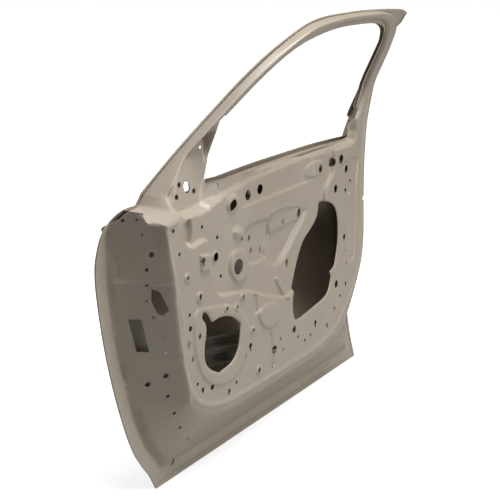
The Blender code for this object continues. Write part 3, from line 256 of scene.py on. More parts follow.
def splineLoop(shares, spacing):
    points = places(shares)
    count = len(points)
    at = [np.array(p[:2]) for p in points]
    loop = []
    for i in range(count):
        start, end = at[i], at[(i + 1) % count]
        length = np.linalg.norm(end - start)
        before = 2 * start - end if points[i][2] else at[i - 1]
        after = 2 * end - start if points[(i + 1) % count][2] else at[(i + 2) % count]
        leave = (end - before) / (np.linalg.norm(start - before) + length) * length
        arrive = (after - start) / (np.linalg.norm(after - end) + length) * length
        steps = max(1, round(length / spacing))
        for k in range(steps):
            t = k / steps
            loop.append(
                (2 * t**3 - 3 * t**2 + 1) * start
                + (t**3 - 2 * t**2 + t) * leave
                + (3 * t**2 - 2 * t**3) * end
                + (t**3 - t**2) * arrive
            )
    return np.array(loop)


blockSize = 2500


def loopDistance(points, loop):
    blocks = [blockDistance(points[i:i + blockSize], loop) for i in range(0, len(points), blockSize)]
    return np.concatenate(blocks) if blocks else np.zeros(0)


def blockDistance(points, loop):
    a, b = loop, np.roll(loop, -1, axis=0)
    edge = b - a
    rel = points[:, None, :] - a[None]
    along = np.clip((rel * edge).sum(2) / (edge * edge).sum(1), 0, 1)
    near = rel - along[..., None] * edge
    dist = np.sqrt((near**2).sum(2)).min(1)
    x, z = points[:, 0:1], points[:, 1:2]
    rise = np.where(edge[:, 1] == 0, 1, edge[:, 1])
    crossX = a[:, 0] + (z - a[:, 1]) * edge[:, 0] / rise
    crossed = ((a[:, 1] > z) != (b[:, 1] > z)) & (x < crossX)
    inside = crossed.sum(1) % 2 == 1
    return np.where(inside, dist, -dist)


def loopNormals(loop):
    ahead = np.roll(loop, -1, axis=0) - loop
    ahead /= np.linalg.norm(ahead, axis=1)[:, None]
    behind = np.roll(ahead, 1, axis=0)
    along = ahead + behind
    along /= np.linalg.norm(along, axis=1)[:, None]
    normal = np.stack([-along[:, 1], along[:, 0]], axis=1)
    area = (loop[:, 0] * np.roll(loop[:, 1], -1) - np.roll(loop[:, 0], -1) * loop[:, 1]).sum()
    return normal if area > 0 else -normal


def insetLoop(loop, amount):
    return loop + loopNormals(loop) * amount


def smoothStep(t):
    t = np.clip(t, 0, 1)
    return t * t * (3 - 2 * t)


def softMin(a, b, blend):
    return 0.5 * (a + b - np.sqrt((a - b) ** 2 + blend**2))


def curveValue(x, table):
    xs, values = (np.array(column) for column in zip(*table))
    slopes = np.gradient(values, xs)
    i = np.clip(np.searchsorted(xs, x) - 1, 0, len(xs) - 2)
    span = xs[i + 1] - xs[i]
    t = np.clip((x - xs[i]) / span, 0, 1)
    return (
        (2 * t**3 - 3 * t**2 + 1) * values[i]
        + (t**3 - 2 * t**2 + t) * slopes[i] * span
        + (3 * t**2 - 2 * t**3) * values[i + 1]
        + (t**3 - t**2) * slopes[i + 1] * span
    )


# Hem that folds the skin round the inner panel
hemFold = {
    "skinSheet": 0.0008, "gap": 0.0006, "seatGap": 0.0003, "flange": 0.036, "return": 0.011,
    "flangeShare": 0.38, "returnShare": 0.28,
}

# Pressed inner panel. Depths run outboard from the trim plane.
panelForm = {
    "sheet": 0.0010, "grid": 0.0050,
    "frontFrameDepth": 0.028, "rearFrameDepth": 0.034, "frameBlend": 0.012,
    "sailRise": 0.052, "sailDepth": 0.037, "sailLean": 0.163,
    "windowFlange": 0.008, "windowFlangeRun": 0.003,
    "beltRecess": 0.020, "beltLedgeRun": 0.012,
    "recessDepth": 0.009, "stripDepth": 0.004, "bowlDepth": 0.009,
    "ringHeight": 0.003, "bossHeight": 0.006, "padHeight": 0.004,
    "embossRun": 0.006, "bowlRun": 0.018, "smallFormScale": 1.6, "seatBlend": 0.016,
}

# Places where one form gives way to the next: start and run, as shares of the length or height
zoneShares = {
    "aboveBelt": (0.69, 0.03), "sailBand": (0.60, 0.04), "beadBack": (0.30, 0.20),
    "sailRise": (0.598, 0.052), "sailRear": (0.128, 0.018), "sailTop": (0.652, 0.012),
    "sailToBelt": (0.124, 0.080), "frontToRear": (0.25, 0.44),
}

# Loops that several pieces share
hemLoop = splineLoop(hemShares, loopStep)
rimLoop = splineLoop(rimShares, loopStep)
windowLoop = splineLoop(windowShares, edgeStep)
skinWindowLoop = splineLoop(skinWindowShares, edgeStep)

# The inner panel's own edge rises above the hem at the top of the hinge wall
panelCornerShares = [
    (-0.084, 0.603), (-0.077, 0.612), (-0.073, 0.622), (-0.068, 0.630), (-0.060, 0.628), (-0.048, 0.624),
]
hemCorner = hemShares.index((-0.084, 0.603))
panelShares = hemShares[:hemCorner] + panelCornerShares + hemShares[hemCorner + 3:]
panelEdge = insetLoop(splineLoop(panelShares, loopStep), hemFold["skinSheet"] + hemFold["seatGap"])


def hemDepth(points):
    return doorDepth * curveValue(points[:, 1] / doorHeight, hemDepthShares)


def zone(share, name):
    start, run = zoneShares[name]
    return smoothStep((share - start) / run)


def rimDepth(points):
    along, up = points[:, 0] / doorLength, points[:, 1] / doorHeight
    hem = hemDepth(points)
    above = zone(up, "sailRise")
    sail = panelForm["sailRise"] * above * (1 - zone(along, "sailRear") * (1 - zone(up, "sailTop")))
    blend = panelForm["frameBlend"]
    front = softMin(hem - panelForm["frontFrameDepth"], sail, blend * (sail / panelForm["sailRise"]))
    rear = softMin(hem - panelForm["rearFrameDepth"], 0.0 * up, blend * above)
    mix = zone(along, "frontToRear")
    return front * (1 - mix) + rear * mix


# Profile of the walls from rim to hem flange. The plain one sets seats and rings, the rounded one the wall.
wallProfileShares = [(0.0, 0.0), (0.10, 0.04), (0.88, 0.86), (1.0, 1.0)]
wallForm = {
    "roundLow": 0.20, "roundHigh": 0.60, "roundFromShare": 0.48, "roundRunShare": 0.12,
    "foot": 0.13, "footDrop": 0.09,
}


def flangeWidth(total):
    return np.minimum(hemFold["flange"], hemFold["flangeShare"] * total)


def returnWidth(total):
    return np.minimum(hemFold["return"], hemFold["returnShare"] * total)


def roundedProfile(s, up):
    low, high = wallForm["roundLow"], wallForm["roundHigh"]
    bend = low + (high - low) * smoothStep((up - wallForm["roundFromShare"]) / wallForm["roundRunShare"])
    profile = np.where(s < bend, s**2 / (2 * bend), s - bend / 2) / (1 - bend / 2)
    step = smoothStep((s - (1 - wallForm["foot"])) / wallForm["foot"])
    return profile * (1 - wallForm["footDrop"]) + wallForm["footDrop"] * step


def wallDepth(points, fromRim, fromHem, fine):
    total = fromRim + fromHem
    s = np.clip(fromRim / (total - flangeWidth(total)), 0, 1)
    if fine:
        profile = roundedProfile(s, points[:, 1] / doorHeight)
    else:
        profile = np.interp(s, *zip(*wallProfileShares))
    rim, hem = rimDepth(points), hemDepth(points)
    return rim + (hem - rim) * profile


# Opening of the skin behind the sail, where the mirror's foot goes through
mirrorOpeningShares = [
    (0.110, 0.622), (0.128, 0.613), (0.152, 0.614), (0.164, 0.622), (0.164, 0.638), (0.150, 0.655),
    (0.132, 0.655), (0.116, 0.640),
]

# Small forms of the pressing: outline, depth outboard and run of the sloping side
smallForms = {
    "bowlTopField": ([
        (0.394, 0.554), (0.449, 0.557), (0.47, 0.558), (0.537, 0.545), (0.558, 0.53), (0.548, 0.508),
        (0.525, 0.503), (0.45, 0.502), (0.393, 0.501), (0.394, 0.531),
    ], -0.0030, 0.006),
    "clipField": ([
        (0.276, 0.528), (0.296, 0.540), (0.385, 0.537), (0.392, 0.497), (0.380, 0.466), (0.379, 0.446),
        (0.296, 0.447), (0.274, 0.473),
    ], 0.0030, 0.006),
    "keyholePad": ([
        (0.078, 0.519, True), (0.119, 0.514, True), (0.118, 0.474, True), (0.081, 0.479, True),
    ], -0.0030, 0.004),
    "beltHolePad": ([(0.567, 0.606), (0.566, 0.632), (0.64, 0.640), (0.641, 0.607)], -0.0025, 0.004),
    "squareHolePad": ([
        (0.196, 0.600), (0.208, 0.620), (0.236, 0.622), (0.250, 0.602), (0.236, 0.584), (0.206, 0.584),
    ], -0.0035, 0.006),
    "clipBump": ([
        (0.225, 0.522), (0.219, 0.540), (0.243, 0.550), (0.266, 0.537), (0.264, 0.522), (0.243, 0.514),
    ], -0.0050, 0.012),
    "frontPocket": ([
        (0.045, 0.593), (0.062, 0.596), (0.063, 0.548), (0.047, 0.540), (0.033, 0.553), (0.028, 0.580),
    ], 0.0060, 0.007),
    "rearGroove": ([
        (0.733, 0.611), (0.759, 0.563), (0.777, 0.431), (0.781, 0.345), (0.830, 0.345), (0.842, 0.420),
        (0.838, 0.540), (0.840, 0.620),
    ], 0.0022, 0.006),
    "bowlRib": ([
        (0.409, 0.385), (0.440, 0.345), (0.462, 0.322), (0.474, 0.328), (0.455, 0.352), (0.422, 0.391),
    ], -0.0030, 0.005),
    "lowerStep": ([(0.372, 0.262), (0.386, 0.262), (0.402, 0.176), (0.388, 0.172)], 0.0020, 0.005),
    "lowerChannel": ([(0.300, 0.376), (0.316, 0.374), (0.320, 0.330), (0.304, 0.326)], 0.0025, 0.006),
}

# Rings pressed round single holes: place, radius
ringShares = [
    (0.078, 0.427, 0.015), (0.033, 0.479, 0.013), (0.251, 0.383, 0.012), (0.296, 0.293, 0.012),
    (0.323, 0.186, 0.014), (0.225, 0.367, 0.012), (0.772, 0.599, 0.015), (0.152, 0.497, 0.014),
    (0.531, 0.525, 0.015), (0.178, 0.376, 0.011),
]
ringForm = {"depth": -0.0027, "run": 0.0035, "corners": 20}
rimBead = {"height": 0.0024, "width": 0.0125, "rise": 0.0045, "fall": 0.0045}
edgeRoll = {"depth": 0.0022, "run": 0.0035}


def makeForms():
    run = panelForm["embossRun"]
    table = [
        (recessShares, panelForm["recessDepth"], run), (stripShares, panelForm["stripDepth"], run),
        (bowlShares, panelForm["bowlDepth"], panelForm["bowlRun"]),
        (speakerRingShares, -panelForm["ringHeight"], run),
        (motorBossShares, -panelForm["bossHeight"], run),
        (roundPadShares, -panelForm["padHeight"], run),
    ]
    scale = panelForm["smallFormScale"]
    table += [(shares, amount * scale, reach) for shares, amount, reach in smallForms.values()]
    forms = [(splineLoop(shares, edgeStep), amount, reach) for shares, amount, reach in table]
    for x, z, radius in ringShares:
        turn = np.arange(ringForm["corners"]) / ringForm["corners"] * math.tau
        centre = np.array([x * doorLength, z * doorHeight])
        ring = centre + radius * np.stack([np.cos(turn), np.sin(turn)], axis=1)
        forms.append((ring, ringForm["depth"], ringForm["run"]))
    return forms


def nearBox(points, loop, reach):
    low, high = loop.min(0) - reach, loop.max(0) + reach
    return np.nonzero(((points > low) & (points < high)).all(1))[0]


forms = makeForms()
ledgeLoop = splineLoop(ledgeTopShares, edgeStep)
rolledLoops = [splineLoop(shares, edgeStep) for shares in (speakerShares, serviceShares)]
sailFootHeight = sailSeatShares[1][1] * doorHeight
sailAtZero = panelForm["sailDepth"] - panelForm["sailLean"] * sailFootHeight
sailPlane = np.array([0.0, panelForm["sailLean"], sailAtZero])


def planeDepth(points, plane):
    return plane[0] * points[:, 0] + plane[1] * points[:, 1] + plane[2]


def curvedDepth(points, fine=True):
    along, up = points[:, 0] / doorLength, points[:, 1] / doorHeight
    toRim = loopDistance(points, rimLoop)
    toHem = loopDistance(points, hemLoop)
    inside = rimDepth(points)
    for outline, amount, run in forms:
        at = nearBox(points, outline, 0)
        inside[at] += amount * smoothStep(loopDistance(points[at], outline) / run)
    sail = planeDepth(points, sailPlane)
    ledge = sail + (panelForm["beltRecess"] - sail) * zone(along, "sailToBelt")
    ledge = ledge * smoothStep(loopDistance(points, ledgeLoop) / panelForm["beltLedgeRun"])
    inside = np.where(ledge > 0, np.maximum(inside, ledge), inside)
    for loop in rolledLoops:
        at = nearBox(points, loop, edgeRoll["run"])
        off = np.maximum(-loopDistance(points[at], loop), 0)
        inside[at] += edgeRoll["depth"] * np.clip(1 - off / edgeRoll["run"], 0, 1)
    toWindow = -loopDistance(points, windowLoop)
    lip = np.clip(1 - toWindow / panelForm["windowFlangeRun"], 0, 1)
    inside = inside + panelForm["windowFlange"] * zone(up, "aboveBelt") * lip
    beaded = np.maximum(1 - zone(up, "sailBand"), zone(along, "beadBack"))
    falling = smoothStep((toRim - rimBead["width"]) / rimBead["fall"])
    bead = smoothStep(toRim / rimBead["rise"]) * (1 - falling)
    inside = inside - rimBead["height"] * bead * beaded
    wall = wallDepth(points, np.maximum(-toRim, 0), np.maximum(toHem, 0), fine)
    return np.where(toRim > 0, inside, wall)


def fitPlane(outline, depths):
    table = np.c_[outline, np.ones(len(outline))]
    return np.linalg.lstsq(table, depths, rcond=None)[0]


def cornersOf(shares):
    return np.array([p[:2] for p in places(shares)])


def makeSeat(shares):
    outline = cornersOf(shares)
    return outline, fitPlane(outline, curvedDepth(outline, False))


# The hinge wall stays flat up to its top edge, and the sail runs on into the ledge
wallTopShares = [
    (-0.044, 0.580), (-0.080, 0.580), (-0.090, 0.600), (-0.088, 0.645), (-0.059, 0.645), (-0.056, 0.620),
    (-0.051, 0.600),
]
sailCornerShares = [(0.100, 0.590), (0.215, 0.590), (0.215, 0.690), (0.100, 0.690)]
sailCorner = cornersOf(sailCornerShares)
hingeSeat = makeSeat(upperHingeSeatShares)
flatSeats = [
    hingeSeat, makeSeat(lowerHingeSeatShares), makeSeat(checkSeatShares), makeSeat(beamSeatShares),
    makeSeat(latchSeatShares), (cornersOf(sailSeatShares), sailPlane),
    (cornersOf(wallTopShares), hingeSeat[1]),
]


def panelDepth(points):
    depth = curvedDepth(points)
    for outline, plane in flatSeats:
        at = nearBox(points, outline, panelForm["seatBlend"])
        keep = smoothStep(-loopDistance(points[at], outline) / panelForm["seatBlend"])
        depth[at] = depth[at] * keep + planeDepth(points[at], plane) * (1 - keep)
    at = nearBox(points, sailCorner, 0)
    depth[at] = np.minimum(depth[at], planeDepth(points[at], sailPlane))
    return depth


# Outer skin, with a flat seat for the outer handle
skinForm = {
    "grid": 0.0095, "standOff": 0.0022, "standOffShare": 0.5, "crown": 0.014, "crownRun": 0.260,
    "beltSetback": 0.040, "beltFlat": 0.014, "beltRun": 0.022, "handleBlend": 0.016,
}


def bareSkinDepth(points):
    toHem = loopDistance(points, hemLoop)
    toWindow = -loopDistance(points, skinWindowLoop)
    crown = skinForm["crown"] * smoothStep((toHem - hemFold["flange"]) / skinForm["crownRun"])
    belowBelt = 1 - zone(points[:, 1] / doorHeight, "aboveBelt")
    near = 1 - smoothStep((toWindow - skinForm["beltFlat"]) / skinForm["beltRun"])
    total = np.abs(toHem) + np.abs(loopDistance(points, rimLoop))
    leave = returnWidth(total)
    reach = skinForm["standOffShare"] * (flangeWidth(total) - leave)
    standOff = skinForm["standOff"] * np.clip((toHem - leave) / reach, 0, 1)
    return hemDepth(points) + crown - skinForm["beltSetback"] * belowBelt * near + standOff


handleOutline = cornersOf(handleSeatShares)
handlePlane = fitPlane(handleOutline, bareSkinDepth(handleOutline))


def skinDepth(points):
    keep = smoothStep(-loopDistance(points, handleOutline) / skinForm["handleBlend"])
    return bareSkinDepth(points) * keep + planeDepth(points, handlePlane) * (1 - keep)


def steepness(verts, faces):
    a, b, c = (verts[faces[:, k]] for k in range(3))
    normal = np.cross(b - a, c - a)
    factor = np.linalg.norm(normal, axis=1) / np.maximum(np.abs(normal[:, 1]), tiny)
    factor = np.minimum(factor, steepest)
    total, count = np.zeros(len(verts)), np.zeros(len(verts))
    for k in range(3):
        np.add.at(total, faces[:, k], np.log(factor))
        np.add.at(count, faces[:, k], 1)
    return np.exp(total / np.maximum(count, 1))


def nearEdges(points, loops, reach):
    close = np.zeros(len(points), bool)
    for loop in loops:
        at = nearBox(points, loop, reach)
        close[at] |= np.abs(loopDistance(points[at], loop)) < reach
    return close


def withinLoops(points, loops):
    inside = np.zeros(len(points), bool)
    for loop in loops:
        at = nearBox(points, loop, 0)
        inside[at] |= loopDistance(points[at], loop) > 0
    return inside


def flatMesh(outline, openings, creases, grid):
    loops = [outline, *openings, *creases]
    points = [p for loop in loops for p in loop]
    edges = []
    start = 0
    for loop in loops:
        count = len(loop)
        edges += [(start + i, start + (i + 1) % count) for i in range(count)]
        start += count
    low, high = outline.min(0), outline.max(0)
    xs = np.arange(low[0], high[0], grid)
    zs = np.arange(low[1], high[1], grid)
    inner = np.array([(x + (row % 2) * grid / 2, z) for row, z in enumerate(zs) for x in xs])
    clear = grid / 3
    inner = inner[loopDistance(inner, outline) > clear]
    inner = inner[~withinLoops(inner, openings)]
    points += list(inner[~nearEdges(inner, loops, clear)])
    flat = delaunay_2d_cdt([Vector(p) for p in points], edges, [], 0, mergeReach)
    verts = np.array([v[:] for v in flat[0]])
    faces = np.array([f for f in flat[2] if len(f) == 3])
    centres = verts[faces].mean(1)
    faces = faces[(loopDistance(centres, outline) > 0) & ~withinLoops(centres, openings)]
    used = np.unique(faces)
    number = np.full(len(verts), -1)
    number[used] = np.arange(len(used))
    return verts[used], number[faces]


def lifted(flat, depth):
    return np.stack([flat[:, 0], depth, flat[:, 1]], axis=1)


def border(faces):
    edges = {(f[k], f[(k + 1) % 3]) for f in faces.tolist() for k in range(3)}
    return [(a, b) for a, b in edges if (b, a) not in edges]


def holeLoop(kind, x, z, tilt, depthOf):
    wide, high = holeSizes[kind]
    corners = holeCorners.get(kind, usualCorners)
    turn = np.arange(corners) / corners * math.tau + math.pi / corners
    across, up = np.cos(turn), np.sin(turn)
    if kind == "square":
        across, up = (np.sign(v) * np.abs(v) ** squareness for v in (across, up))
    if kind == "keyhole":
        across = np.where(up < 0, across * keyholeNeck, across)
    lean = math.radians(tilt)
    centre = np.array([[x * doorLength, z * doorHeight]])
    reach = panelForm["sheet"]
    step = reach * np.array([[1.0, 0.0], [-1.0, 0.0], [0.0, 1.0], [0.0, -1.0]])
    near = depthOf(centre + step)
    slopeX, slopeZ = (near[0] - near[1]) / (2 * reach), (near[2] - near[3]) / (2 * reach)
    across, up = across * wide / 2, up * high / 2
    side = (across * math.cos(lean) - up * math.sin(lean)) / math.sqrt(1 + slopeX**2)
    rise = (across * math.sin(lean) + up * math.cos(lean)) / math.sqrt(1 + slopeZ**2)
    return centre + np.stack([side, rise], axis=1)


def nearestOnLoop(points, loop):
    edge = np.roll(loop, -1, axis=0) - loop
    rel = points[:, None, :] - loop[None]
    along = np.clip((rel * edge).sum(2) / (edge * edge).sum(1), 0, 1)
    foot = loop[None] + along[..., None] * edge[None]
    best = ((points[:, None, :] - foot) ** 2).sum(2).argmin(1)
    return foot[np.arange(len(points)), best]


def ringTowardsRim(widthOf):
    foot = nearestOnLoop(hemLoop, rimLoop)
    total = np.linalg.norm(foot - hemLoop, axis=1)
    return hemLoop + (foot - hemLoop) * (widthOf(total) / total)[:, None]


returnRing = ringTowardsRim(returnWidth)
flangeRing = ringTowardsRim(flangeWidth)


# Rows across the rounded side walls, so that the curve is sampled evenly
wallRowShares = (0.20, 0.32, 0.44, 0.56, 0.70, 0.80)


def wallRow(row, total):
    return total - (total - flangeWidth(total)) * row


def wallRows():
    return [ringTowardsRim(partial(wallRow, row)) for row in wallRowShares]


def wallRings():
    foot, ridge = wallProfileShares[2][0], wallProfileShares[1][0]
    return [returnRing, flangeRing, *(ringTowardsRim(partial(wallRow, row)) for row in (foot, ridge))]


def layerNormals(verts, faces):
    a, b, c = (verts[faces[:, k]] for k in range(3))
    normal = np.cross(b - a, c - a)
    total = np.zeros_like(verts)
    for k in range(3):
        np.add.at(total, faces[:, k], normal)
    return total / np.maximum(np.linalg.norm(total, axis=1), tiny)[:, None]


def placePiece(name, mesh, slot, nodes):
    piece = bpy.data.objects.new(name, mesh)
    bpy.context.scene.collection.objects.link(piece)
    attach(piece, "root")
    if nodes:
        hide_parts(*nodes)
    piece.data.materials.append(coats[slot])
    print(name, len(mesh.polygons))
    return piece


def layeredPiece(name, flat, depths, layers, sides, slot, node):
    count = len(flat)
    low, high = (np.array(corner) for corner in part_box(node))
    verts = np.clip(np.concatenate([lifted(flat, depth) for depth in depths]) - origin, low, high)
    faces, normals = [], []
    for layer, part, outboard in layers:
        turned = (part[:, ::-1] if outboard else part) + layer * count
        faces.append(turned)
        normals.append(layerNormals(verts, turned)[turned].reshape(-1, 3))
    sides = np.array(sides)
    corners = verts[sides]
    side = np.cross(corners[:, 2] - corners[:, 0], corners[:, 3] - corners[:, 1])
    side /= np.maximum(np.linalg.norm(side, axis=1), tiny)[:, None]
    normals.append(np.repeat(side, 4, axis=0))
    solid = [tuple(f) for part in faces for f in part.tolist()] + [tuple(f) for f in sides.tolist()]
    used = np.unique(np.concatenate([part.reshape(-1) for part in faces] + [sides.reshape(-1)]))
    number = np.full(len(verts), -1)
    number[used] = np.arange(len(used))
    mesh = bpy.data.meshes.new(name)
    mesh.from_pydata(verts[used].tolist(), [], [tuple(number[list(f)].tolist()) for f in solid])
    mesh.shade_smooth()
    mesh.normals_split_custom_set(np.concatenate(normals).tolist())
    return placePiece(name, mesh, slot, [node])


def panelOpenings():
    loops = [windowLoop]
    for shares in (speakerShares, serviceShares, harnessShares, checkStrapShares, latchSlotShares):
        loops.append(splineLoop(shares, edgeStep))
    for kind, x, z, tilt in trimHoleShares + sailHoleShares + wallHoleShares:
        loops.append(holeLoop(kind, x, z, tilt, panelDepth))
    return loops


def makeInnerPanel():
    ledgeRun = panelForm["beltLedgeRun"]
    creases = [rimLoop, *wallRings(), *wallRows(), ledgeLoop]
    creases += [insetLoop(ledgeLoop, ledgeRun / 2), insetLoop(ledgeLoop, ledgeRun)]
    beadEdges = (rimBead["rise"] / 2, rimBead["rise"], rimBead["width"], rimBead["width"] + rimBead["fall"])
    creases += [insetLoop(rimLoop, reach) for reach in beadEdges]
    creases += [insetLoop(windowLoop, -panelForm["windowFlangeRun"])]
    creases += [insetLoop(loop, -edgeRoll["run"]) for loop in rolledLoops]
    for outline, _ in flatSeats:
        creases += [outline, insetLoop(outline, -panelForm["seatBlend"])]
    for outline, _, run in forms:
        creases += [outline, insetLoop(outline, run / 2), insetLoop(outline, run)]
    flat, faces = flatMesh(panelEdge, panelOpenings(), creases, panelForm["grid"])
    depth = panelDepth(flat)
    factor = steepness(lifted(flat, depth), faces)
    count = len(flat)
    sides = [(b, a, a + count, b + count) for a, b in border(faces)]
    depths = [depth, depth + panelForm["sheet"] * factor]
    layers = [(0, faces, False), (1, faces, True)]
    return layeredPiece("pressedInnerPanel", flat, depths, layers, sides, "primer", "inner_panel")


def makeOuterPanel():
    fold = insetLoop(hemLoop, hemFold["skinSheet"])
    seat = [handleOutline, insetLoop(handleOutline, -skinForm["handleBlend"])]
    flatBelt = skinForm["beltFlat"]
    belt = [insetLoop(skinWindowLoop, -reach) for reach in (flatBelt, flatBelt + skinForm["beltRun"])]
    mirrorLoop = splineLoop(mirrorOpeningShares, edgeStep)
    creases = [fold, returnRing, flangeRing, *seat, *belt]
    flat, faces = flatMesh(hemLoop, [skinWindowLoop, mirrorLoop], creases, skinForm["grid"])
    depth = skinDepth(flat)
    factor = steepness(lifted(flat, depth), faces)
    flange = hemDepth(flat)
    clear = (panelForm["sheet"] + hemFold["gap"]) * factor
    layers = [
        depth + clear + hemFold["skinSheet"] * factor,
        depth + clear,
        flange - hemFold["gap"] * factor,
        flange - (hemFold["gap"] + hemFold["skinSheet"]) * factor,
    ]
    centres = flat[faces].mean(1)
    inFold = loopDistance(centres, fold) > 0
    inReturn = loopDistance(centres, returnRing) > 0
    parts = [faces, faces[inFold], faces[inFold & ~inReturn], faces[~inReturn]]
    count = len(flat)
    sides = []
    joins = [
        (0, 3, hemLoop), (2, 1, fold), (2, 3, returnRing), (0, 1, skinWindowLoop), (0, 1, mirrorLoop),
    ]
    for first, second, loop in joins:
        part = parts[1] if loop is fold else parts[first]
        for a, b in border(part):
            if np.abs(loopDistance(flat[[a, b]], loop)).max() < onLoop:
                sides.append((a + first * count, b + first * count, b + second * count, a + second * count))
    turned = [True, False, True, False]
    table = [(layer, part, turned[layer]) for layer, part in enumerate(parts)]
    return layeredPiece("hemmedOuterPanel", flat, layers, table, sides, "primer", "outer_panel")


# Materials. Every coat goes through one group that mottles its colour and gloss.
mottle = {
    "scale": 5.0, "detail": 3.0, "paleRange": (0.52, 0.78), "paleAmount": 0.45,
    "speckScale": 60.0, "speckDetail": 2.0, "dimRange": (0.55, 0.80), "dimAmount": 0.22,
    "glossRange": (0.3, 0.7), "glossSpread": 0.10, "grainScale": 420.0, "grainDetail": 2.0,
    "grainStrength": 0.02, "grainDistance": 0.0006, "sheen": 0.15, "sheenRoughness": 0.28,
}
finishes = {
    "primer": {
        "name": "taupePrimer", "base": (0.47, 0.405, 0.325, 1.0), "pale": (0.56, 0.50, 0.42, 1.0),
        "dim": (0.36, 0.305, 0.24, 1.0), "roughness": 0.36, "metallic": 0.0,
    },
    # Near-black coat for the braces and other solids behind the panel: painted shade of the door's inside,
    # seen through the holes
    "brace_primer": {
        "name": "bracePaintedShade", "base": (0.07, 0.066, 0.056, 1.0), "pale": (0.11, 0.10, 0.085, 1.0),
        "dim": (0.045, 0.04, 0.034, 1.0), "roughness": 0.5, "metallic": 0.0,
    },
    "plated_steel": {
        "name": "platedSteel", "base": (0.52, 0.50, 0.45, 1.0), "pale": (0.30, 0.28, 0.24, 1.0),
        "dim": (0.30, 0.28, 0.24, 1.0), "roughness": 0.32, "metallic": 0.9,
    },
    "beam": {
        "name": "beamPrimer", "base": (0.66, 0.63, 0.56, 1.0), "pale": (0.74, 0.71, 0.64, 1.0),
        "dim": (0.50, 0.47, 0.41, 1.0), "roughness": 0.26, "metallic": 0.0,
    },
    "mastic": {
        "name": "masticPaste", "base": (0.05, 0.048, 0.045, 1.0), "pale": (0.10, 0.095, 0.09, 1.0),
        "dim": (0.05, 0.048, 0.045, 1.0), "roughness": 0.8, "metallic": 0.0,
    },
}


def addSocket(tree, name, way, kind, value=None):
    socket = tree.interface.new_socket(name=name, in_out=way, socket_type=kind)
    if value is not None:
        socket.default_value = value
    return socket


def addNoise(tree, scale, detail, place):
    noise = tree.nodes.new("ShaderNodeTexNoise")
    noise.inputs["Scale"].default_value = scale
    noise.inputs["Detail"].default_value = detail
    tree.links.new(place, noise.inputs["Vector"])
    return noise.outputs["Fac"]


def addRange(tree, value, low, high, first, last):
    node = tree.nodes.new("ShaderNodeMapRange")
    for name, number in (("From Min", low), ("From Max", high), ("To Min", first), ("To Max", last)):
        node.inputs[name].default_value = number
    tree.links.new(value, node.inputs["Value"])
    return node.outputs["Result"]


def addMix(tree, amount, first, second):
    node = tree.nodes.new("ShaderNodeMix")
    node.data_type = "RGBA"
    tree.links.new(amount, node.inputs["Factor"])
    tree.links.new(first, node.inputs["A"])
    tree.links.new(second, node.inputs["B"])
    return node.outputs["Result"]


def makeCoatGroup():
    tree = bpy.data.node_groups.new("coatMottle", "ShaderNodeTree")
    for name in ("Base", "Pale", "Dim"):
        addSocket(tree, name, "INPUT", "NodeSocketColor")
    addSocket(tree, "Roughness", "INPUT", "NodeSocketFloat", finishes["primer"]["roughness"])
    addSocket(tree, "Color", "OUTPUT", "NodeSocketColor")
    addSocket(tree, "Roughness", "OUTPUT", "NodeSocketFloat")
    addSocket(tree, "Height", "OUTPUT", "NodeSocketFloat")
    given = tree.nodes.new("NodeGroupInput")
    result = tree.nodes.new("NodeGroupOutput")
    place = tree.nodes.new("ShaderNodeTexCoord").outputs["Object"]
    cloud = addNoise(tree, mottle["scale"], mottle["detail"], place)
    speck = addNoise(tree, mottle["speckScale"], mottle["speckDetail"], place)
    grain = addNoise(tree, mottle["grainScale"], mottle["grainDetail"], place)
    paleAmount = addRange(tree, cloud, *mottle["paleRange"], 0.0, mottle["paleAmount"])
    dimAmount = addRange(tree, speck, *mottle["dimRange"], 0.0, mottle["dimAmount"])
    colour = addMix(tree, paleAmount, given.outputs["Base"], given.outputs["Pale"])
    colour = addMix(tree, dimAmount, colour, given.outputs["Dim"])
    tree.links.new(colour, result.inputs["Color"])
    half = mottle["glossSpread"] / 2
    spread = addRange(tree, cloud, *mottle["glossRange"], -half, half)
    total = tree.nodes.new("ShaderNodeMath")
    tree.links.new(given.outputs["Roughness"], total.inputs[0])
    tree.links.new(spread, total.inputs[1])
    tree.links.new(total.outputs["Value"], result.inputs["Roughness"])
    tree.links.new(grain, result.inputs["Height"])
    return tree


coatGroup = makeCoatGroup()


def makeCoat(finish):
    material = bpy.data.materials.new(finish["name"])
    material.use_nodes = True
    tree = material.node_tree
    shader = tree.nodes["Principled BSDF"]
    group = tree.nodes.new("ShaderNodeGroup")
    group.node_tree = coatGroup
    for key in ("base", "pale", "dim", "roughness"):
        group.inputs[key.capitalize()].default_value = finish[key]
    bump = tree.nodes.new("ShaderNodeBump")
    bump.inputs["Strength"].default_value = mottle["grainStrength"]
    bump.inputs["Distance"].default_value = mottle["grainDistance"]
    tree.links.new(group.outputs["Height"], bump.inputs["Height"])
    tree.links.new(bump.outputs["Normal"], shader.inputs["Normal"])
    tree.links.new(group.outputs["Color"], shader.inputs["Base Color"])
    tree.links.new(group.outputs["Roughness"], shader.inputs["Roughness"])
    shader.inputs["Metallic"].default_value = finish["metallic"]
    shader.inputs["Coat Weight"].default_value = 0.0 if finish["metallic"] else mottle["sheen"]
    shader.inputs["Coat Roughness"].default_value = mottle["sheenRoughness"]
    material.diffuse_color = finish["base"]
    return material


coats = {slot: makeCoat(finish) for slot, finish in finishes.items()}

# Coats of the solids that stay as they are, by the start of their names
nodeCoats = {
    "window_channel": "primer", "outer_belt": "primer", "inner_belt": "primer", "intrusion_beam": "beam",
    "mirror_nut": "plated_steel", "mastic_pad": "mastic",
}


def dressNodes():
    for name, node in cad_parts.items():
        kinds = [kind for start, kind in nodeCoats.items() if name.startswith(start)]
        # Solids not listed get the near-black coat, painted shade of the door's inside
        coat = coats[kinds[0] if kinds else "brace_primer"]
        for place in node.material_slots:
            place.material = coat


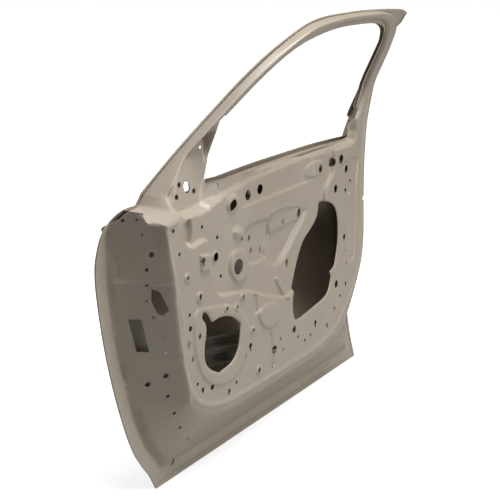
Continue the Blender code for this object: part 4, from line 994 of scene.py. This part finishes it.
# Camera, light and floor
camera = {"place": (-1.5948, -1.2903, 0.5478), "ahead": (0.819, 0.515, -0.2533), "lens": 72.07}
lamps = [
    {"name": "topLamp", "place": (0.25, -0.75, 3.2), "aim": (0.40, 0.0, 0.0), "size": 1.8, "power": 118},
    {"name": "frontLamp", "place": (1.6, -3.4, 0.55), "aim": (0.45, 0.0, 0.0), "size": 2.0, "power": 50},
    {"name": "backLamp", "place": (1.2, 2.6, 2.6), "aim": (0.4, 0.0, 0.0), "size": 2.6, "power": 34},
]
world = {"colour": (1.0, 1.0, 1.0, 1.0), "strength": 0.06}
floor = {
    "size": 80.0, "drop": 0.0005, "colour": (0.45, 0.45, 0.447, 1.0), "roughness": 0.9,
    "glowColour": (1.0, 1.0, 1.0, 1.0), "nearGlow": 0.78, "seenGlow": 1.1, "nearReach": 0.7,
    "farReach": 1.6,
}


def makeCamera():
    data = bpy.data.cameras.new("photoCamera")
    data.lens = camera["lens"]
    data.dof.use_dof = False
    seer = bpy.data.objects.new("photoCamera", data)
    seer.location = camera["place"]
    seer.rotation_euler = Vector(camera["ahead"]).to_track_quat("-Z", "Y").to_euler()
    bpy.context.scene.collection.objects.link(seer)
    bpy.context.scene.camera = seer


def makeLamps():
    for lamp in lamps:
        data = bpy.data.lights.new(lamp["name"], "AREA")
        data.size = lamp["size"]
        data.energy = lamp["power"]
        light = bpy.data.objects.new(lamp["name"], data)
        light.location = lamp["place"]
        ahead = Vector(lamp["aim"]) - Vector(lamp["place"])
        light.rotation_euler = ahead.to_track_quat("-Z", "Y").to_euler()
        bpy.context.scene.collection.objects.link(light)


def makeWorld():
    sky = bpy.data.worlds.new("paleStudio")
    bpy.context.scene.world = sky
    sky.use_nodes = True
    tree = sky.node_tree
    background = tree.nodes["Background"]
    background.inputs["Color"].default_value = world["colour"]
    rays = tree.nodes.new("ShaderNodeLightPath")
    seen = tree.nodes.new("ShaderNodeMath")
    seen.operation = "MAXIMUM"
    tree.links.new(rays.outputs["Is Camera Ray"], seen.inputs[0])
    tree.links.new(rays.outputs["Is Transmission Ray"], seen.inputs[1])
    strength = addRange(tree, seen.outputs["Value"], 0.0, 1.0, world["strength"], 1.0)
    tree.links.new(strength, background.inputs["Strength"])


def makeFloor():
    material = bpy.data.materials.new("paleFloor")
    material.use_nodes = True
    shader = material.node_tree.nodes["Principled BSDF"]
    shader.inputs["Base Color"].default_value = floor["colour"]
    shader.inputs["Roughness"].default_value = floor["roughness"]
    shader.inputs["Emission Color"].default_value = floor["glowColour"]
    tree = material.node_tree
    rays = tree.nodes.new("ShaderNodeLightPath")
    away = tree.nodes.new("ShaderNodeVectorMath")
    away.operation = "LENGTH"
    tree.links.new(tree.nodes.new("ShaderNodeTexCoord").outputs["Object"], away.inputs[0])
    reaches, glows = (floor["nearReach"], floor["farReach"]), (floor["nearGlow"], floor["seenGlow"])
    glow = addRange(tree, away.outputs["Value"], *reaches, *glows)
    shown = tree.nodes.new("ShaderNodeMath")
    shown.operation = "MULTIPLY"
    tree.links.new(glow, shown.inputs[0])
    tree.links.new(rays.outputs["Is Camera Ray"], shown.inputs[1])
    tree.links.new(shown.outputs["Value"], shader.inputs["Emission Strength"])
    half = floor["size"] / 2
    level = cadBounds[0][2] - floor["drop"]
    mesh = bpy.data.meshes.new("studioFloor")
    corners = [(-half, -half, level), (half, -half, level), (half, half, level), (-half, half, level)]
    mesh.from_pydata(corners, [], [(0, 1, 2, 3)])
    mesh.materials.append(material)
    ground = bpy.data.objects.new("studioFloor", mesh)
    bpy.context.scene.collection.objects.link(ground)


bpy.context.scene.view_settings.view_transform = "Standard"
makeCamera()
makeLamps()
makeWorld()
makeFloor()
print("stage set")
dressNodes()
print("nodes dressed")
makeInnerPanel()
makeOuterPanel()
